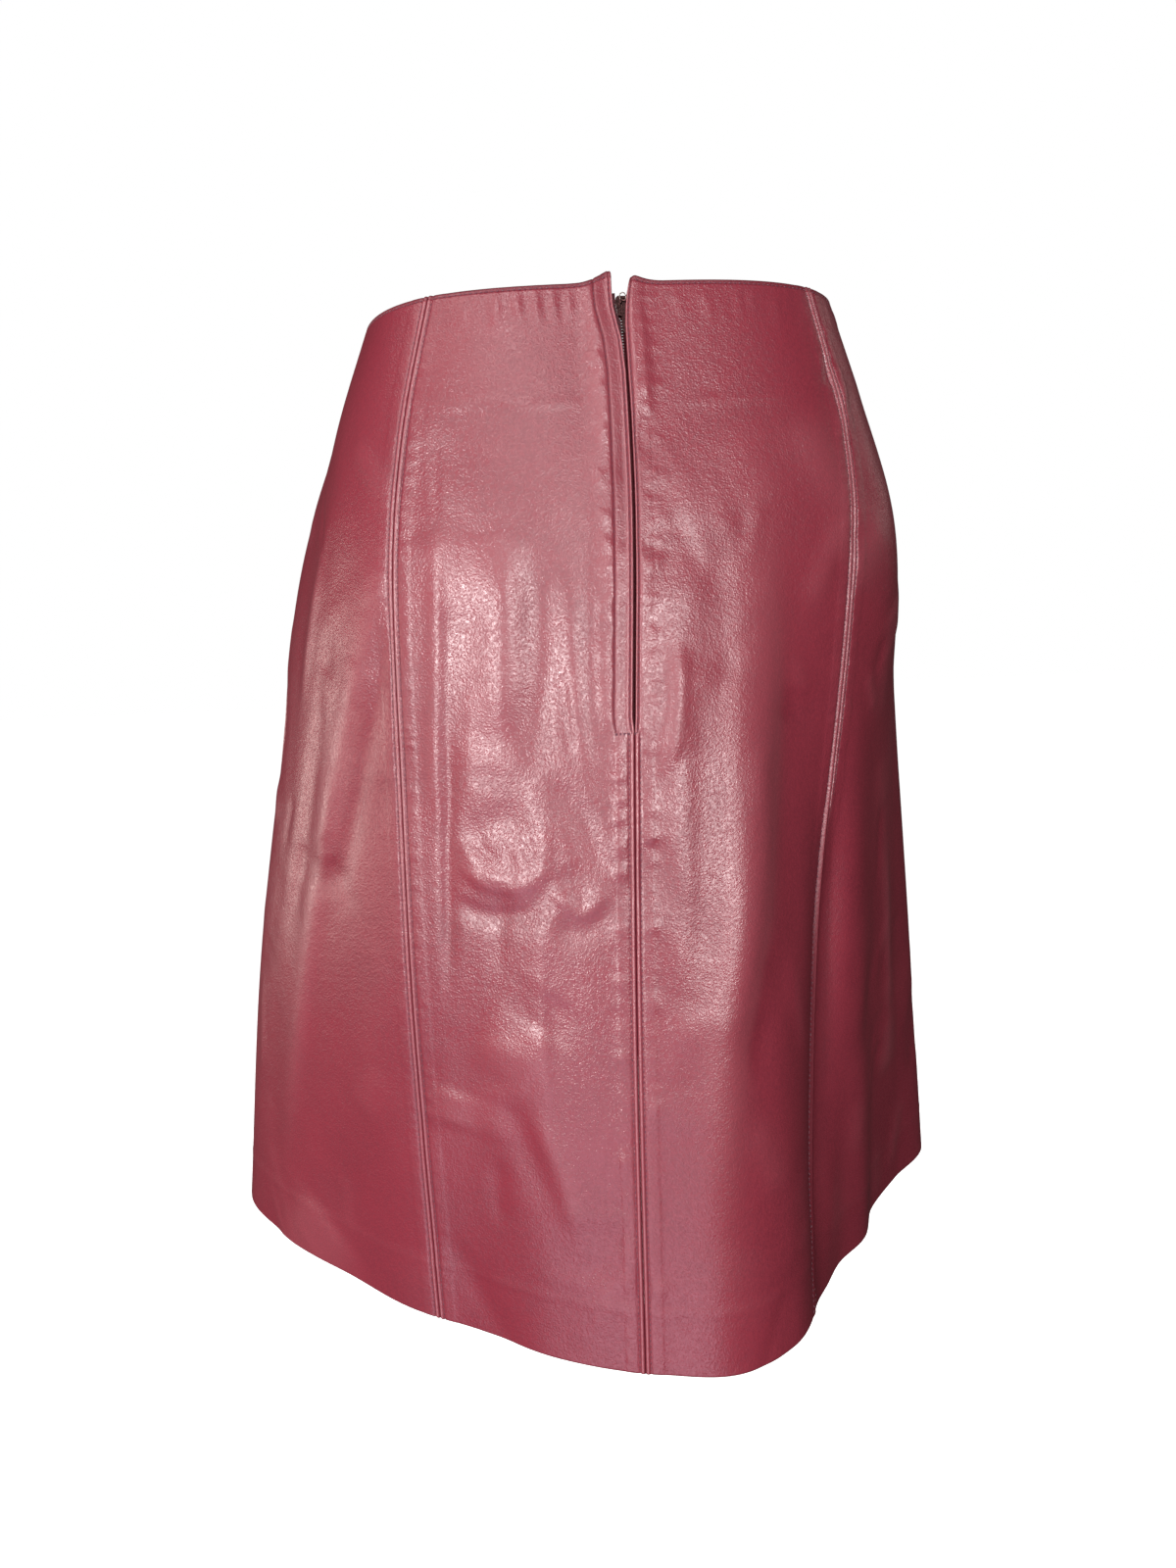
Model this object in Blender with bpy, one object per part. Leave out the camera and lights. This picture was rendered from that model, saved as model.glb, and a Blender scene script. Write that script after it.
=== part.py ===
"""A knee-length A-line leather skirt, filled out as worn, with nobody in it.

Run with: blender --background --python part.py

Metres, +Z up. The origin is the middle of the waist opening. The centre-back seam, which holds the
lapped zip, faces -Y, so +X is the wearer's right. An angle runs round the skirt from centre back,
positive towards the wearer's right. A level runs from 0 at the waist edge to 1 at the hem.

Five leather panels are walls of one thickness on one form. The form is a stack of rounded sections
with folds that grow towards the hem. Seams are lines drawn on it, and each panel stops half a seam
gap short of them. The zip's tapes and chain lie just behind the back panels, on the same form.
"""

import math

import bmesh
import bpy
from mathutils import Matrix, Vector

# Sizes of the skirt.
LENGTH = 0.464
WALL = 0.0014
SEAM_GAP = 0.0003

# How the edges stray from level: the waist is higher on the right, the hem lower at centre back.
WAIST_TILT = 0.0037
HEM_DIP = 0.0107
DIP_REACH = 1.6

# The form, a row for each section: level, half width, depth to the back and to the front,
# shift to the right, and how square the back half of the section is (2 is an ellipse).
SECTIONS = (
    {"level": 0.00, "width": 0.118, "back": 0.1025, "front": 0.094, "shift": 0.009, "square": 3.2},
    {"level": 0.11, "width": 0.136, "back": 0.1120, "front": 0.110, "shift": 0.008, "square": 2.9},
    {"level": 0.24, "width": 0.152, "back": 0.1245, "front": 0.122, "shift": 0.008, "square": 2.5},
    {"level": 0.44, "width": 0.162, "back": 0.1380, "front": 0.134, "shift": 0.005, "square": 2.2},
    {"level": 0.70, "width": 0.171, "back": 0.1575, "front": 0.148, "shift": 0.001, "square": 2.1},
    {"level": 1.00, "width": 0.176, "back": 0.1760, "front": 0.162, "shift": 0.000, "square": 2.0},
)
FRONT_SQUARE = 2.25

# The folds, a row for each ridge, valley or turn of the cloth between them: the angle, how far it
# stands out of the section at the hem, and how far at the hip.
FOLDS = (
    {"angle": -92, "hem": 0.0287, "hip": 0.0038},
    {"angle": -76, "hem": 0.0103, "hip": -0.0010},
    {"angle": -60, "hem": -0.0085, "hip": 0.0022},
    {"angle": -44, "hem": -0.0144, "hip": 0.0019},
    {"angle": -30, "hem": -0.0179, "hip": 0.0002},
    {"angle": -15, "hem": -0.0081, "hip": -0.0008},
    {"angle": 0, "hem": 0.0037, "hip": -0.0009},
    {"angle": 10, "hem": 0.0124, "hip": -0.0013},
    {"angle": 20, "hem": 0.0068, "hip": -0.0012},
    {"angle": 30, "hem": -0.0091, "hip": 0.0005},
    {"angle": 40, "hem": -0.0192, "hip": 0.0030},
    {"angle": 50, "hem": -0.0171, "hip": 0.0045},
    {"angle": 60, "hem": -0.0200, "hip": 0.0081},
    {"angle": 72, "hem": -0.0081, "hip": 0.0047},
    {"angle": 84, "hem": 0.0143, "hip": 0.0003},
    {"angle": 96, "hem": 0.0047, "hip": -0.0006},
    {"angle": 114, "hem": -0.0060, "hip": -0.0004},
    {"angle": 136, "hem": 0.0120, "hip": 0.0010},
    {"angle": 160, "hem": -0.0100, "hip": 0.0000},
    {"angle": 184, "hem": 0.0090, "hip": 0.0015},
    {"angle": 206, "hem": -0.0120, "hip": 0.0000},
    {"angle": 230, "hem": 0.0110, "hip": 0.0010},
    {"angle": 250, "hem": 0.0020, "hip": 0.0010},
)
FOLD_START = 0.15
FOLD_SOFTNESS = 0.06
HIP_LEVEL = 0.27
HIP_REACH = 0.16

# The seams, a row for each level that they turn at: the angle of each seam in degrees.
SEAMS = (
    {"level": 0.00, "left": -43.8, "centre": 0.3, "right": 46.9},
    {"level": 0.12, "left": -45.6, "centre": 0.7, "right": 48.9},
    {"level": 0.25, "left": -46.3, "centre": -0.1, "right": 46.5},
    {"level": 0.45, "left": -45.0, "centre": -1.1, "right": 43.4},
    {"level": 0.70, "left": -41.0, "centre": -1.7, "right": 34.7},
    {"level": 1.00, "left": -37.4, "centre": -2.5, "right": 26.7},
)
SIDE_SEAM = 92.0

# The zip opening, a row for each turn of its lips: the drop below the waist, and how far each
# panel's edge is from the line of the zip.
OPENING = (
    {"drop": 0.000, "left": 0.0050, "right": 0.0021},
    {"drop": 0.012, "left": 0.0040, "right": 0.0020},
    {"drop": 0.026, "left": 0.0021, "right": 0.0017},
    {"drop": 0.040, "left": 0.0008, "right": 0.0007},
    {"drop": 0.191, "left": 0.0007, "right": 0.0006},
    {"drop": 0.197, "left": 0.00015, "right": 0.00015},
)

# The corners of the waist beside the zip stand up.
CORNER_REACH = 0.016
CORNER_DROP = 0.022
LEFT_CORNER_LIFT = 0.0066
RIGHT_CORNER_LIFT = 0.0036

# The zip, behind the back panels. Its tapes come together over a short run above the chain.
TAPE_TOP = 0.0045
TAPE_END = 0.2050
TAPE_WIDTH = 0.0135
TAPE_DEPTH = WALL + 0.0003
TAPE_THICKNESS = 0.0010
TAPE_GAP = 0.0023
TAPE_GAP_AT_SLIDER = 0.0040
CHAIN_TOP = 0.0155
CHAIN_END = 0.1980
CHAIN_HALF_WIDTH = 0.0020
CHAIN_DEPTH = WALL + 0.0005
CHAIN_THICKNESS = 0.0018
TAPE_JOIN = 0.0015
TAPE_JOIN_START = 0.0001
STRIP_STEPS = 12

# The slider, in its own axes: across, up along the zip, and out of the cloth.
PIN_DROP = 0.0085
PIN_OUT = -0.0006
PIN_RADIUS = 0.0004
SLIDER_FRONT = -0.0017
SLIDER_THICKNESS = 0.0030
SLIDER_ABOVE_PIN = 0.0030
SLIDER_BELOW_PIN = 0.0062
SLIDER_TOP_HALF = 0.0036
SLIDER_LOW_HALF = 0.0027
SLIDER_WIDEST_SHARE = 0.2
SLIDER_CROWN_SHARE = 0.8
CHEEK_INNER = 0.0009
CHEEK_OUTER = 0.0016
CHEEK_REACH = 0.0009
PART_OVERLAP = 0.0002

# The pull tab, hung on the slider's pin.
KNUCKLE_HALF = 0.0006
KNUCKLE_RADIUS = 0.0010
KNUCKLE_BORE = 0.0006
TAB_HALF = 0.0012
TAB_START = 0.0013
TAB_END = 0.0145
TAB_THICKNESS = 0.0008
TAB_CORNER = 0.0006
TAB_SHOULDER_HALF = 0.00084

# How finely the solids are drawn: sides of a round bar, columns of each panel, how strongly a
# panel's columns crowd towards the zip, and the levels of its rows.
ROUND_STEPS = 16
SIDE_BACK_COLUMNS = 12
BACK_COLUMNS = 15
FRONT_COLUMNS = 34
LIP_CROWDING = 1.5
SHARP_ANGLE = 40
LEVELS_BY_ROW = (
    0.0, 0.012, 0.026, 0.042, 0.06, 0.086, 0.12, 0.16, 0.205, 0.25, 0.30, 0.35, 0.395, 0.411,
    0.426, 0.48, 0.54, 0.60, 0.66, 0.72, 0.78, 0.84, 0.90, 0.95, 1.0,
)  # fmt: skip
PROBE = 1e-4

MATERIALS = {
    "leather": {"colour": (0.235, 0.030, 0.042), "roughness": 0.42, "metallic": 0.0},
    "zip_tape": {"colour": (0.120, 0.012, 0.020), "roughness": 0.85, "metallic": 0.0},
    "zip_teeth": {"colour": (0.030, 0.018, 0.018), "roughness": 0.50, "metallic": 0.0},
    "zip_metal": {"colour": (0.560, 0.545, 0.520), "roughness": 0.30, "metallic": 1.0},
}


def clear_scene():
    for obj in list(bpy.data.objects):
        bpy.data.objects.remove(obj)


def material(name):
    look = MATERIALS[name]
    made = bpy.data.materials.get(name) or bpy.data.materials.new(name)
    made.use_nodes = True
    shader = made.node_tree.nodes["Principled BSDF"]
    shader.inputs["Base Color"].default_value = (*look["colour"], 1.0)
    shader.inputs["Roughness"].default_value = look["roughness"]
    shader.inputs["Metallic"].default_value = look["metallic"]
    return made


def curve_through(rows, key, column, at):
    """The value of a column at a place along the key column, on a smooth curve through the rows."""
    keys = [row[key] for row in rows]
    values = [row[column] for row in rows]
    last = len(rows) - 2
    i = min(max(sum(at >= k for k in keys) - 1, 0), last)

    def slope(j):
        low = max(j - 1, 0)
        high = min(j + 1, len(rows) - 1)
        return (values[high] - values[low]) / (keys[high] - keys[low])

    span = keys[i + 1] - keys[i]
    s = min(max((at - keys[i]) / span, 0.0), 1.0)
    start = (2 * s**3 - 3 * s**2 + 1) * values[i] + (s**3 - 2 * s**2 + s) * span * slope(i)
    end = (3 * s**2 - 2 * s**3) * values[i + 1] + (s**3 - s**2) * span * slope(i + 1)
    return start + end


def straight_through(rows, key, column, at):
    """The value of a column at a place along the key column, on straight lines between the rows."""
    for low, high in zip(rows, rows[1:]):
        if at <= high[key]:
            share = max(at - low[key], 0.0) / (high[key] - low[key])
            return low[column] + share * (high[column] - low[column])
    return rows[-1][column]


def wrapped_folds():
    """The fold rows with three repeated past each end, so that the curve closes round the skirt."""
    before = [{**row, "angle": row["angle"] - 360} for row in FOLDS[-3:]]
    after = [{**row, "angle": row["angle"] + 360} for row in FOLDS[:3]]
    return [*before, *FOLDS, *after]


FOLD_RING = wrapped_folds()


def fold_growth(level):
    """0 above the folds' start, then rising evenly to 1 at the hem, with a soft beginning."""

    def rise(at):
        run = at - FOLD_START
        return (math.sqrt(run * run + FOLD_SOFTNESS**2) + run) / 2

    return rise(level) / rise(1.0)


def hip_swell(level):
    return math.exp(-(((level - HIP_LEVEL) / HIP_REACH) ** 2))


def form_radius(angle, level):
    """How far the form stands from its axis, at an angle in degrees."""
    turn = math.radians(angle)
    width = curve_through(SECTIONS, "level", "width", level)
    side = "back" if math.cos(turn) > 0 else "front"
    depth = curve_through(SECTIONS, "level", side, level)
    square = FRONT_SQUARE
    if side == "back":
        square = curve_through(SECTIONS, "level", "square", level)
    across = abs(math.sin(turn)) / width
    along = abs(math.cos(turn)) / depth
    radius = (across**square + along**square) ** (-1 / square)
    fold_angle = (angle - FOLDS[0]["angle"]) % 360 + FOLDS[0]["angle"]
    hem = curve_through(FOLD_RING, "angle", "hem", fold_angle)
    hip = curve_through(FOLD_RING, "angle", "hip", fold_angle)
    return radius + fold_growth(level) * hem + hip_swell(level) * hip


def form_point(angle, level):
    turn = math.radians(angle)
    from_back = math.radians((angle + 180) % 360 - 180)
    radius = form_radius(angle, level)
    shift = curve_through(SECTIONS, "level", "shift", level)
    tilt = WAIST_TILT * math.sin(turn) * (1 - level) ** 2
    dip = HEM_DIP * max(math.cos(from_back / DIP_REACH), 0.0) ** 4 * level**3
    height = tilt - LENGTH * level - dip
    return Vector((radius * math.sin(turn) + shift, -radius * math.cos(turn), height))


def outward(angle, level):
    """The form's own direction out of the cloth."""
    low = min(max(level, PROBE), 1 - PROBE)
    round_step = math.degrees(PROBE)
    along = form_point(angle + round_step, low) - form_point(angle - round_step, low)
    down = form_point(angle, low + PROBE) - form_point(angle, low - PROBE)
    return down.cross(along).normalized()


def on_form(angle, level, depth):
    """The point this far inside the form's face."""
    return form_point(angle, level) - outward(angle, level) * depth


def seam_angle(seam, level):
    if seam == "side_left":
        return -SIDE_SEAM
    if seam == "side_right":
        return SIDE_SEAM
    if seam == "front_end":
        return 360 - SIDE_SEAM
    return curve_through(SEAMS, "level", seam, level)


def beside(angle, level, distance):
    """The angle that lies this far round the form from another, positive to the right."""
    return angle + math.degrees(distance / form_radius(angle, level))


def edge_angle(seam, level, side, zip_lip):
    """A panel's edge beside a seam: side is 1 for the edge to the right of it and -1 to the left."""
    clear = SEAM_GAP / 2
    if zip_lip:
        column = "right" if side > 0 else "left"
        clear = straight_through(OPENING, "drop", column, level * LENGTH)
    return beside(seam_angle(seam, level), level, side * clear)


def wall_mesh(name, outer, inner):
    """A closed wall between two grids of points, outer and inner, each a list of rows."""
    rows = len(outer)
    columns = len(outer[0])
    bm = bmesh.new()
    out = [[bm.verts.new(point) for point in row] for row in outer]
    back = [[bm.verts.new(point) for point in row] for row in inner]
    for i in range(rows - 1):
        for j in range(columns - 1):
            bm.faces.new((out[i][j], out[i + 1][j], out[i + 1][j + 1], out[i][j + 1]))
            bm.faces.new((back[i][j], back[i][j + 1], back[i + 1][j + 1], back[i + 1][j]))
    for j in range(columns - 1):
        bm.faces.new((out[0][j], out[0][j + 1], back[0][j + 1], back[0][j]))
        bm.faces.new((out[-1][j + 1], out[-1][j], back[-1][j], back[-1][j + 1]))
    for i in range(rows - 1):
        bm.faces.new((out[i + 1][0], out[i][0], back[i][0], back[i + 1][0]))
        bm.faces.new((out[i][-1], out[i + 1][-1], back[i + 1][-1], back[i][-1]))
    bmesh.ops.recalc_face_normals(bm, faces=bm.faces)
    bmesh.ops.triangulate(bm, faces=bm.faces)
    mesh = bpy.data.meshes.new(name)
    bm.to_mesh(mesh)
    bm.free()
    return mesh


def add_object(name, mesh, look):
    made = bpy.data.objects.new(name, mesh)
    bpy.context.scene.collection.objects.link(made)
    mesh.materials.append(material(look))
    mesh.shade_smooth()
    mesh.set_sharp_from_angle(angle=math.radians(SHARP_ANGLE))
    return made


def corner_lift(from_lip, level, lift):
    """How far a panel's corner stands up, this far round from the lip of the zip."""
    round_share = max(1 - from_lip / CORNER_REACH, 0.0)
    down_share = max(1 - level * LENGTH / CORNER_DROP, 0.0)
    return lift * round_share**2 * down_share**2


def panel(name, start, end, columns, lip=None, lift=0.0):
    """One leather panel, from the seam named start round to the seam named end.

    lip says which of its edges, start or end, is a lip of the zip. The columns crowd towards it.
    """
    outer = []
    inner = []
    for level in LEVELS_BY_ROW:
        first = edge_angle(start, level, 1, lip == "start")
        last = edge_angle(end, level, -1, lip == "end")
        lip_angle = first if lip == "start" else last
        outer_row = []
        inner_row = []
        for column in range(columns + 1):
            share = column / columns
            if lip == "start":
                share = share**LIP_CROWDING
            if lip == "end":
                share = 1 - (1 - share) ** LIP_CROWDING
            angle = first + (last - first) * share
            from_lip = math.radians(abs(angle - lip_angle)) * form_radius(angle, level)
            raised = Vector((0, 0, corner_lift(from_lip, level, lift) if lip else 0.0))
            outer_row.append(on_form(angle, level, 0.0) + raised)
            inner_row.append(on_form(angle, level, WALL) + raised)
        outer.append(outer_row)
        inner.append(inner_row)
    return add_object(name, wall_mesh(name, outer, inner), "leather")


def zip_strip(name, look, drops, near, far, depth, thickness):
    """A strip along the zip, behind the panels. near and far give its two edges at each drop."""
    outer = []
    inner = []
    for drop in drops:
        level = drop / LENGTH
        line = seam_angle("centre", level)
        edges = [beside(line, level, offset) for offset in (near(drop), far(drop))]
        outer.append([on_form(angle, level, depth) for angle in edges])
        inner.append([on_form(angle, level, depth + thickness) for angle in edges])
    return add_object(name, wall_mesh(name, outer, inner), look)


def steps(start, end, count):
    return [start + (end - start) * i / count for i in range(count + 1)]


def tape_edge(drop):
    """The tapes part round the slider and above it."""
    if drop < CHAIN_TOP:
        return TAPE_GAP_AT_SLIDER
    return TAPE_GAP


def add_zip_strips():
    drops = [TAPE_TOP, CHAIN_TOP - TAPE_JOIN_START, *steps(CHAIN_TOP + TAPE_JOIN, TAPE_END, STRIP_STEPS)]
    zip_strip(
        "zip_tape_left", "zip_tape", drops,
        lambda drop: -TAPE_WIDTH, lambda drop: -tape_edge(drop), TAPE_DEPTH, TAPE_THICKNESS,
    )  # fmt: skip
    zip_strip(
        "zip_tape_right", "zip_tape", drops,
        tape_edge, lambda drop: TAPE_WIDTH, TAPE_DEPTH, TAPE_THICKNESS,
    )  # fmt: skip
    zip_strip(
        "zip_chain", "zip_teeth", steps(CHAIN_TOP, CHAIN_END, STRIP_STEPS),
        lambda drop: -CHAIN_HALF_WIDTH, lambda drop: CHAIN_HALF_WIDTH, CHAIN_DEPTH, CHAIN_THICKNESS,
    )  # fmt: skip


def pin_frame():
    """The slider's axes at its pin: X across, Y up along the zip, Z out of the cloth."""
    level = PIN_DROP / LENGTH
    angle = seam_angle("centre", level)
    out = outward(angle, level)
    out.x = 0.0
    out.normalize()
    across = Vector((1, 0, 0))
    up = out.cross(across)
    place = form_point(angle, level) + out * PIN_OUT
    turned = Matrix((across, up, out)).transposed().to_4x4()
    return Matrix.Translation(place) @ turned


def prism(name, outline, low, high, axis):
    """An outline drawn in two axes and carried along the third, from low to high."""
    bm = bmesh.new()
    ends = []
    for height in (low, high):
        ring = []
        for a, b in outline:
            point = (a, b, height) if axis == "Z" else (height, a, b)
            ring.append(bm.verts.new(point))
        ends.append(ring)
    bm.faces.new(ends[0][::-1])
    bm.faces.new(ends[1])
    count = len(outline)
    for i in range(count):
        j = (i + 1) % count
        bm.faces.new((ends[0][i], ends[0][j], ends[1][j], ends[1][i]))
    bmesh.ops.recalc_face_normals(bm, faces=bm.faces)
    mesh = bpy.data.meshes.new(name)
    bm.to_mesh(mesh)
    bm.free()
    return mesh


def ring_outline(radius):
    turns = [2 * math.pi * i / ROUND_STEPS for i in range(ROUND_STEPS)]
    return [(radius * math.cos(turn), radius * math.sin(turn)) for turn in turns]


def helper(name, mesh, frame):
    """A shape that only joins or cuts another."""
    made = bpy.data.objects.new(name, mesh)
    bpy.context.scene.collection.objects.link(made)
    made.matrix_world = frame
    made.hide_render = True
    made.display_type = "WIRE"
    return made


def combine(target, operation, other):
    modifier = target.modifiers.new(other.name, "BOOLEAN")
    modifier.operation = operation
    modifier.solver = "EXACT"
    modifier.object = other


def add_slider(frame):
    """A shield-shaped body behind the lips, with two cheeks and the pin that the tab hangs on."""
    top = SLIDER_ABOVE_PIN
    low = -SLIDER_BELOW_PIN
    body = [
        (-SLIDER_LOW_HALF, low), (SLIDER_LOW_HALF, low),
        (SLIDER_TOP_HALF, top * SLIDER_WIDEST_SHARE), (SLIDER_TOP_HALF * SLIDER_CROWN_SHARE, top),
        (-SLIDER_TOP_HALF * SLIDER_CROWN_SHARE, top), (-SLIDER_TOP_HALF, top * SLIDER_WIDEST_SHARE),
    ]  # fmt: skip
    front = SLIDER_FRONT - PIN_OUT
    mesh = prism("zip_slider", body, front - SLIDER_THICKNESS, front, "Z")
    slider = add_object("zip_slider", mesh, "zip_metal")
    slider.matrix_world = frame
    cheek = [
        (-CHEEK_REACH, front - PART_OVERLAP), (CHEEK_REACH, front - PART_OVERLAP),
        (CHEEK_REACH, 0.0), (CHEEK_REACH / 2, CHEEK_REACH / 2),
        (-CHEEK_REACH / 2, CHEEK_REACH / 2), (-CHEEK_REACH, 0.0),
    ]  # fmt: skip
    for side, low_x, high_x in (
        ("left", -CHEEK_OUTER, -CHEEK_INNER),
        ("right", CHEEK_INNER, CHEEK_OUTER),
    ):
        name = f"cheek_{side}"
        combine(slider, "UNION", helper(name, prism(name, cheek, low_x, high_x, "X"), frame))
    reach = CHEEK_INNER + PART_OVERLAP
    pin = prism("pin", ring_outline(PIN_RADIUS), -reach, reach, "X")
    combine(slider, "UNION", helper("pin", pin, frame))
    return slider


def add_pull_tab(frame):
    """A flat tab, below a knuckle that turns on the slider's pin."""
    knuckle = prism("zip_pull", ring_outline(KNUCKLE_RADIUS), -KNUCKLE_HALF, KNUCKLE_HALF, "X")
    tab = add_object("zip_pull", knuckle, "zip_metal")
    tab.matrix_world = frame
    half = TAB_THICKNESS / 2
    neck = prism(
        "neck",
        [(-KNUCKLE_HALF, -TAB_START - PART_OVERLAP), (KNUCKLE_HALF, -TAB_START - PART_OVERLAP),
         (KNUCKLE_HALF, -KNUCKLE_BORE), (-KNUCKLE_HALF, -KNUCKLE_BORE)],
        -half, half, "Z",
    )  # fmt: skip
    corner = TAB_CORNER
    blade = prism(
        "blade",
        [(-TAB_SHOULDER_HALF, -TAB_START), (-TAB_HALF, -TAB_START - corner),
         (-TAB_HALF, -TAB_END + corner), (-corner, -TAB_END),
         (corner, -TAB_END), (TAB_HALF, -TAB_END + corner),
         (TAB_HALF, -TAB_START - corner), (TAB_SHOULDER_HALF, -TAB_START)],
        -half, half, "Z",
    )  # fmt: skip
    bore_reach = KNUCKLE_HALF + PART_OVERLAP
    bore = prism("bore", ring_outline(KNUCKLE_BORE), -bore_reach, bore_reach, "X")
    combine(tab, "UNION", helper("neck", neck, frame))
    combine(tab, "UNION", helper("blade", blade, frame))
    combine(tab, "DIFFERENCE", helper("bore", bore, frame))
    return tab


def add_panels():
    panel("side_back_left", "side_left", "left", SIDE_BACK_COLUMNS)
    panel("back_left", "left", "centre", BACK_COLUMNS, lip="end", lift=LEFT_CORNER_LIFT)
    panel("back_right", "centre", "right", BACK_COLUMNS, lip="start", lift=RIGHT_CORNER_LIFT)
    panel("side_back_right", "right", "side_right", SIDE_BACK_COLUMNS)
    panel("front", "side_right", "front_end", FRONT_COLUMNS)


def main():
    clear_scene()
    add_panels()
    add_zip_strips()
    frame = pin_frame()
    add_slider(frame)
    add_pull_tab(frame)


main()
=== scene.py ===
"""The looks of a burgundy leather A-line skirt, worn shape with nobody in it, seen from the back.

Everything is in metres, in the CAD part's own frame: the origin is the middle of the waist opening,
+Z is up, the centre-back zip faces -Y and +X is the wearer's right.

Places on the cloth are (run, drop): how far round from the centre-back seam, positive to the
wearer's right, and how far below the waist. A level is a drop as a share of the skirt's length.
The form's tables are those of the CAD part, but the opening is drawn more closely here.
"""

import math

import bmesh
import bpy
import numpy as np
from mathutils import Matrix, Vector


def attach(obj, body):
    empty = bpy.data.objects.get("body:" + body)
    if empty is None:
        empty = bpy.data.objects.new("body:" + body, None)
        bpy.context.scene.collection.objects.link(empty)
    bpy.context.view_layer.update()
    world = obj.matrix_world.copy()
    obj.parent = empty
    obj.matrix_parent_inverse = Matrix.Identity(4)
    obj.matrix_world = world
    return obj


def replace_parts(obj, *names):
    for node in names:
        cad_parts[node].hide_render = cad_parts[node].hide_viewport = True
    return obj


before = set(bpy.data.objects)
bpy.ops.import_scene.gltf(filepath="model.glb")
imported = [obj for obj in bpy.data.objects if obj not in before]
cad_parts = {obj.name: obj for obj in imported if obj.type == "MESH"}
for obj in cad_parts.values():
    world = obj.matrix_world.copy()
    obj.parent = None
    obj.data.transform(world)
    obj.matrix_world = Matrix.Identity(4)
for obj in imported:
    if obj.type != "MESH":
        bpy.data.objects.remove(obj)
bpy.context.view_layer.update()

CM = 0.01
MM = 0.001


def table(names, *rows):
    """Rows of values, each as a dictionary by the names."""
    return [dict(zip(names.split(), row)) for row in rows]


# ---------------------------------------------------------------- the form, as in the CAD part

LENGTH = 0.464
WAIST_TILT = 0.0037
HEM_DIP = 0.0107
DIP_REACH = 1.6
FRONT_SQUARE = 2.25
SECTIONS = table(
    "level width back front shift square",
    (0.00, 0.118, 0.1025, 0.094, 0.009, 3.2),
    (0.11, 0.136, 0.1120, 0.110, 0.008, 2.9),
    (0.24, 0.152, 0.1245, 0.122, 0.008, 2.5),
    (0.44, 0.162, 0.1380, 0.134, 0.005, 2.2),
    (0.70, 0.171, 0.1575, 0.148, 0.001, 2.1),
    (1.00, 0.176, 0.1760, 0.162, 0.000, 2.0),
)
# How far the form swells or sinks at an angle from the back, at the hem and at the hip.
FOLDS = table(
    "angle hem hip",
    (-92, 0.0287, 0.0038), (-76, 0.0103, -0.0010), (-60, -0.0085, 0.0022), (-44, -0.0144, 0.0019),
    (-30, -0.0179, 0.0002), (-15, -0.0081, -0.0008), (0, 0.0037, -0.0009), (10, 0.0124, -0.0013),
    (20, 0.0068, -0.0012), (30, -0.0091, 0.0005), (40, -0.0192, 0.0030), (50, -0.0171, 0.0045),
    (60, -0.0200, 0.0081), (72, -0.0081, 0.0047), (84, 0.0143, 0.0003), (96, 0.0047, -0.0006),
    (114, -0.0060, -0.0004), (136, 0.0120, 0.0010), (160, -0.0100, 0.0000), (184, 0.0090, 0.0015),
    (206, -0.0120, 0.0000), (230, 0.0110, 0.0010), (250, 0.0020, 0.0010),
)
FOLD_START = 0.15
FOLD_SOFTNESS = 0.06
HIP_LEVEL = 0.27
HIP_REACH = 0.16
SEAMS = table(
    "level left centre right",
    (0.00, -43.8, 0.3, 46.9),
    (0.12, -45.6, 0.7, 48.9),
    (0.25, -46.3, -0.1, 46.5),
    (0.45, -45.0, -1.1, 43.4),
    (0.70, -41.0, -1.7, 34.7),
    (1.00, -37.4, -2.5, 26.7),
)
SIDE_SEAM = 92.0
SEAM_GAP = 0.00002
# How far the zip's lap (left) and lip (right) stand back from the centre-back seam.
OPENING = table(
    "drop left right",
    (0.000, 0.0051, 0.0029),
    (0.006, 0.0052, 0.0015),
    (0.012, 0.0049, 0.0006),
    (0.019, 0.0034, 0.0),
    (0.026, 0.0019, 0.0),
    (0.040, 0.0009, 0.0001),
    (0.060, 0.0008, 0.0004),
    (0.191, 0.0008, 0.0003),
    (0.197, 0.00001, 0.00001),
)
ZIP_END = 0.197
CORNER_REACH = 0.016
CORNER_DROP = 0.022
CORNER_LIFTS = {"end": 0.0066, "start": 0.0036, None: 0.0}
CORNER_RADIUS = 0.0040
# The step, in levels and in radians, by which slopes of the form are measured.
PROBE = 1e-4


def column(rows, name):
    return np.array([row[name] for row in rows], float)


def curve_through(rows, key, name, at):
    """A column's value at places along the key column, on a smooth curve through the rows."""
    keys = column(rows, key)
    values = column(rows, name)
    before = np.r_[0, 0:len(rows) - 1]
    after = np.r_[1:len(rows), len(rows) - 1]
    slopes = (values[after] - values[before]) / (keys[after] - keys[before])
    i = np.clip(np.searchsorted(keys, at, side="right") - 1, 0, len(rows) - 2)
    span = keys[i + 1] - keys[i]
    s = np.clip((at - keys[i]) / span, 0.0, 1.0)
    start = (2 * s**3 - 3 * s**2 + 1) * values[i] + (s**3 - 2 * s**2 + s) * span * slopes[i]
    end = (3 * s**2 - 2 * s**3) * values[i + 1] + (s**3 - s**2) * span * slopes[i + 1]
    return start + end


FOLD_RING = (
    [{**row, "angle": row["angle"] - 360} for row in FOLDS[-3:]]
    + FOLDS
    + [{**row, "angle": row["angle"] + 360} for row in FOLDS[:3]]
)


def fold_growth(level):
    """How much of their full size the folds have at a level, from 0 to 1."""
    def rise(at):
        run = at - FOLD_START
        return (np.sqrt(run * run + FOLD_SOFTNESS**2) + run) / 2

    return rise(level) / rise(1.0)


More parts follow.
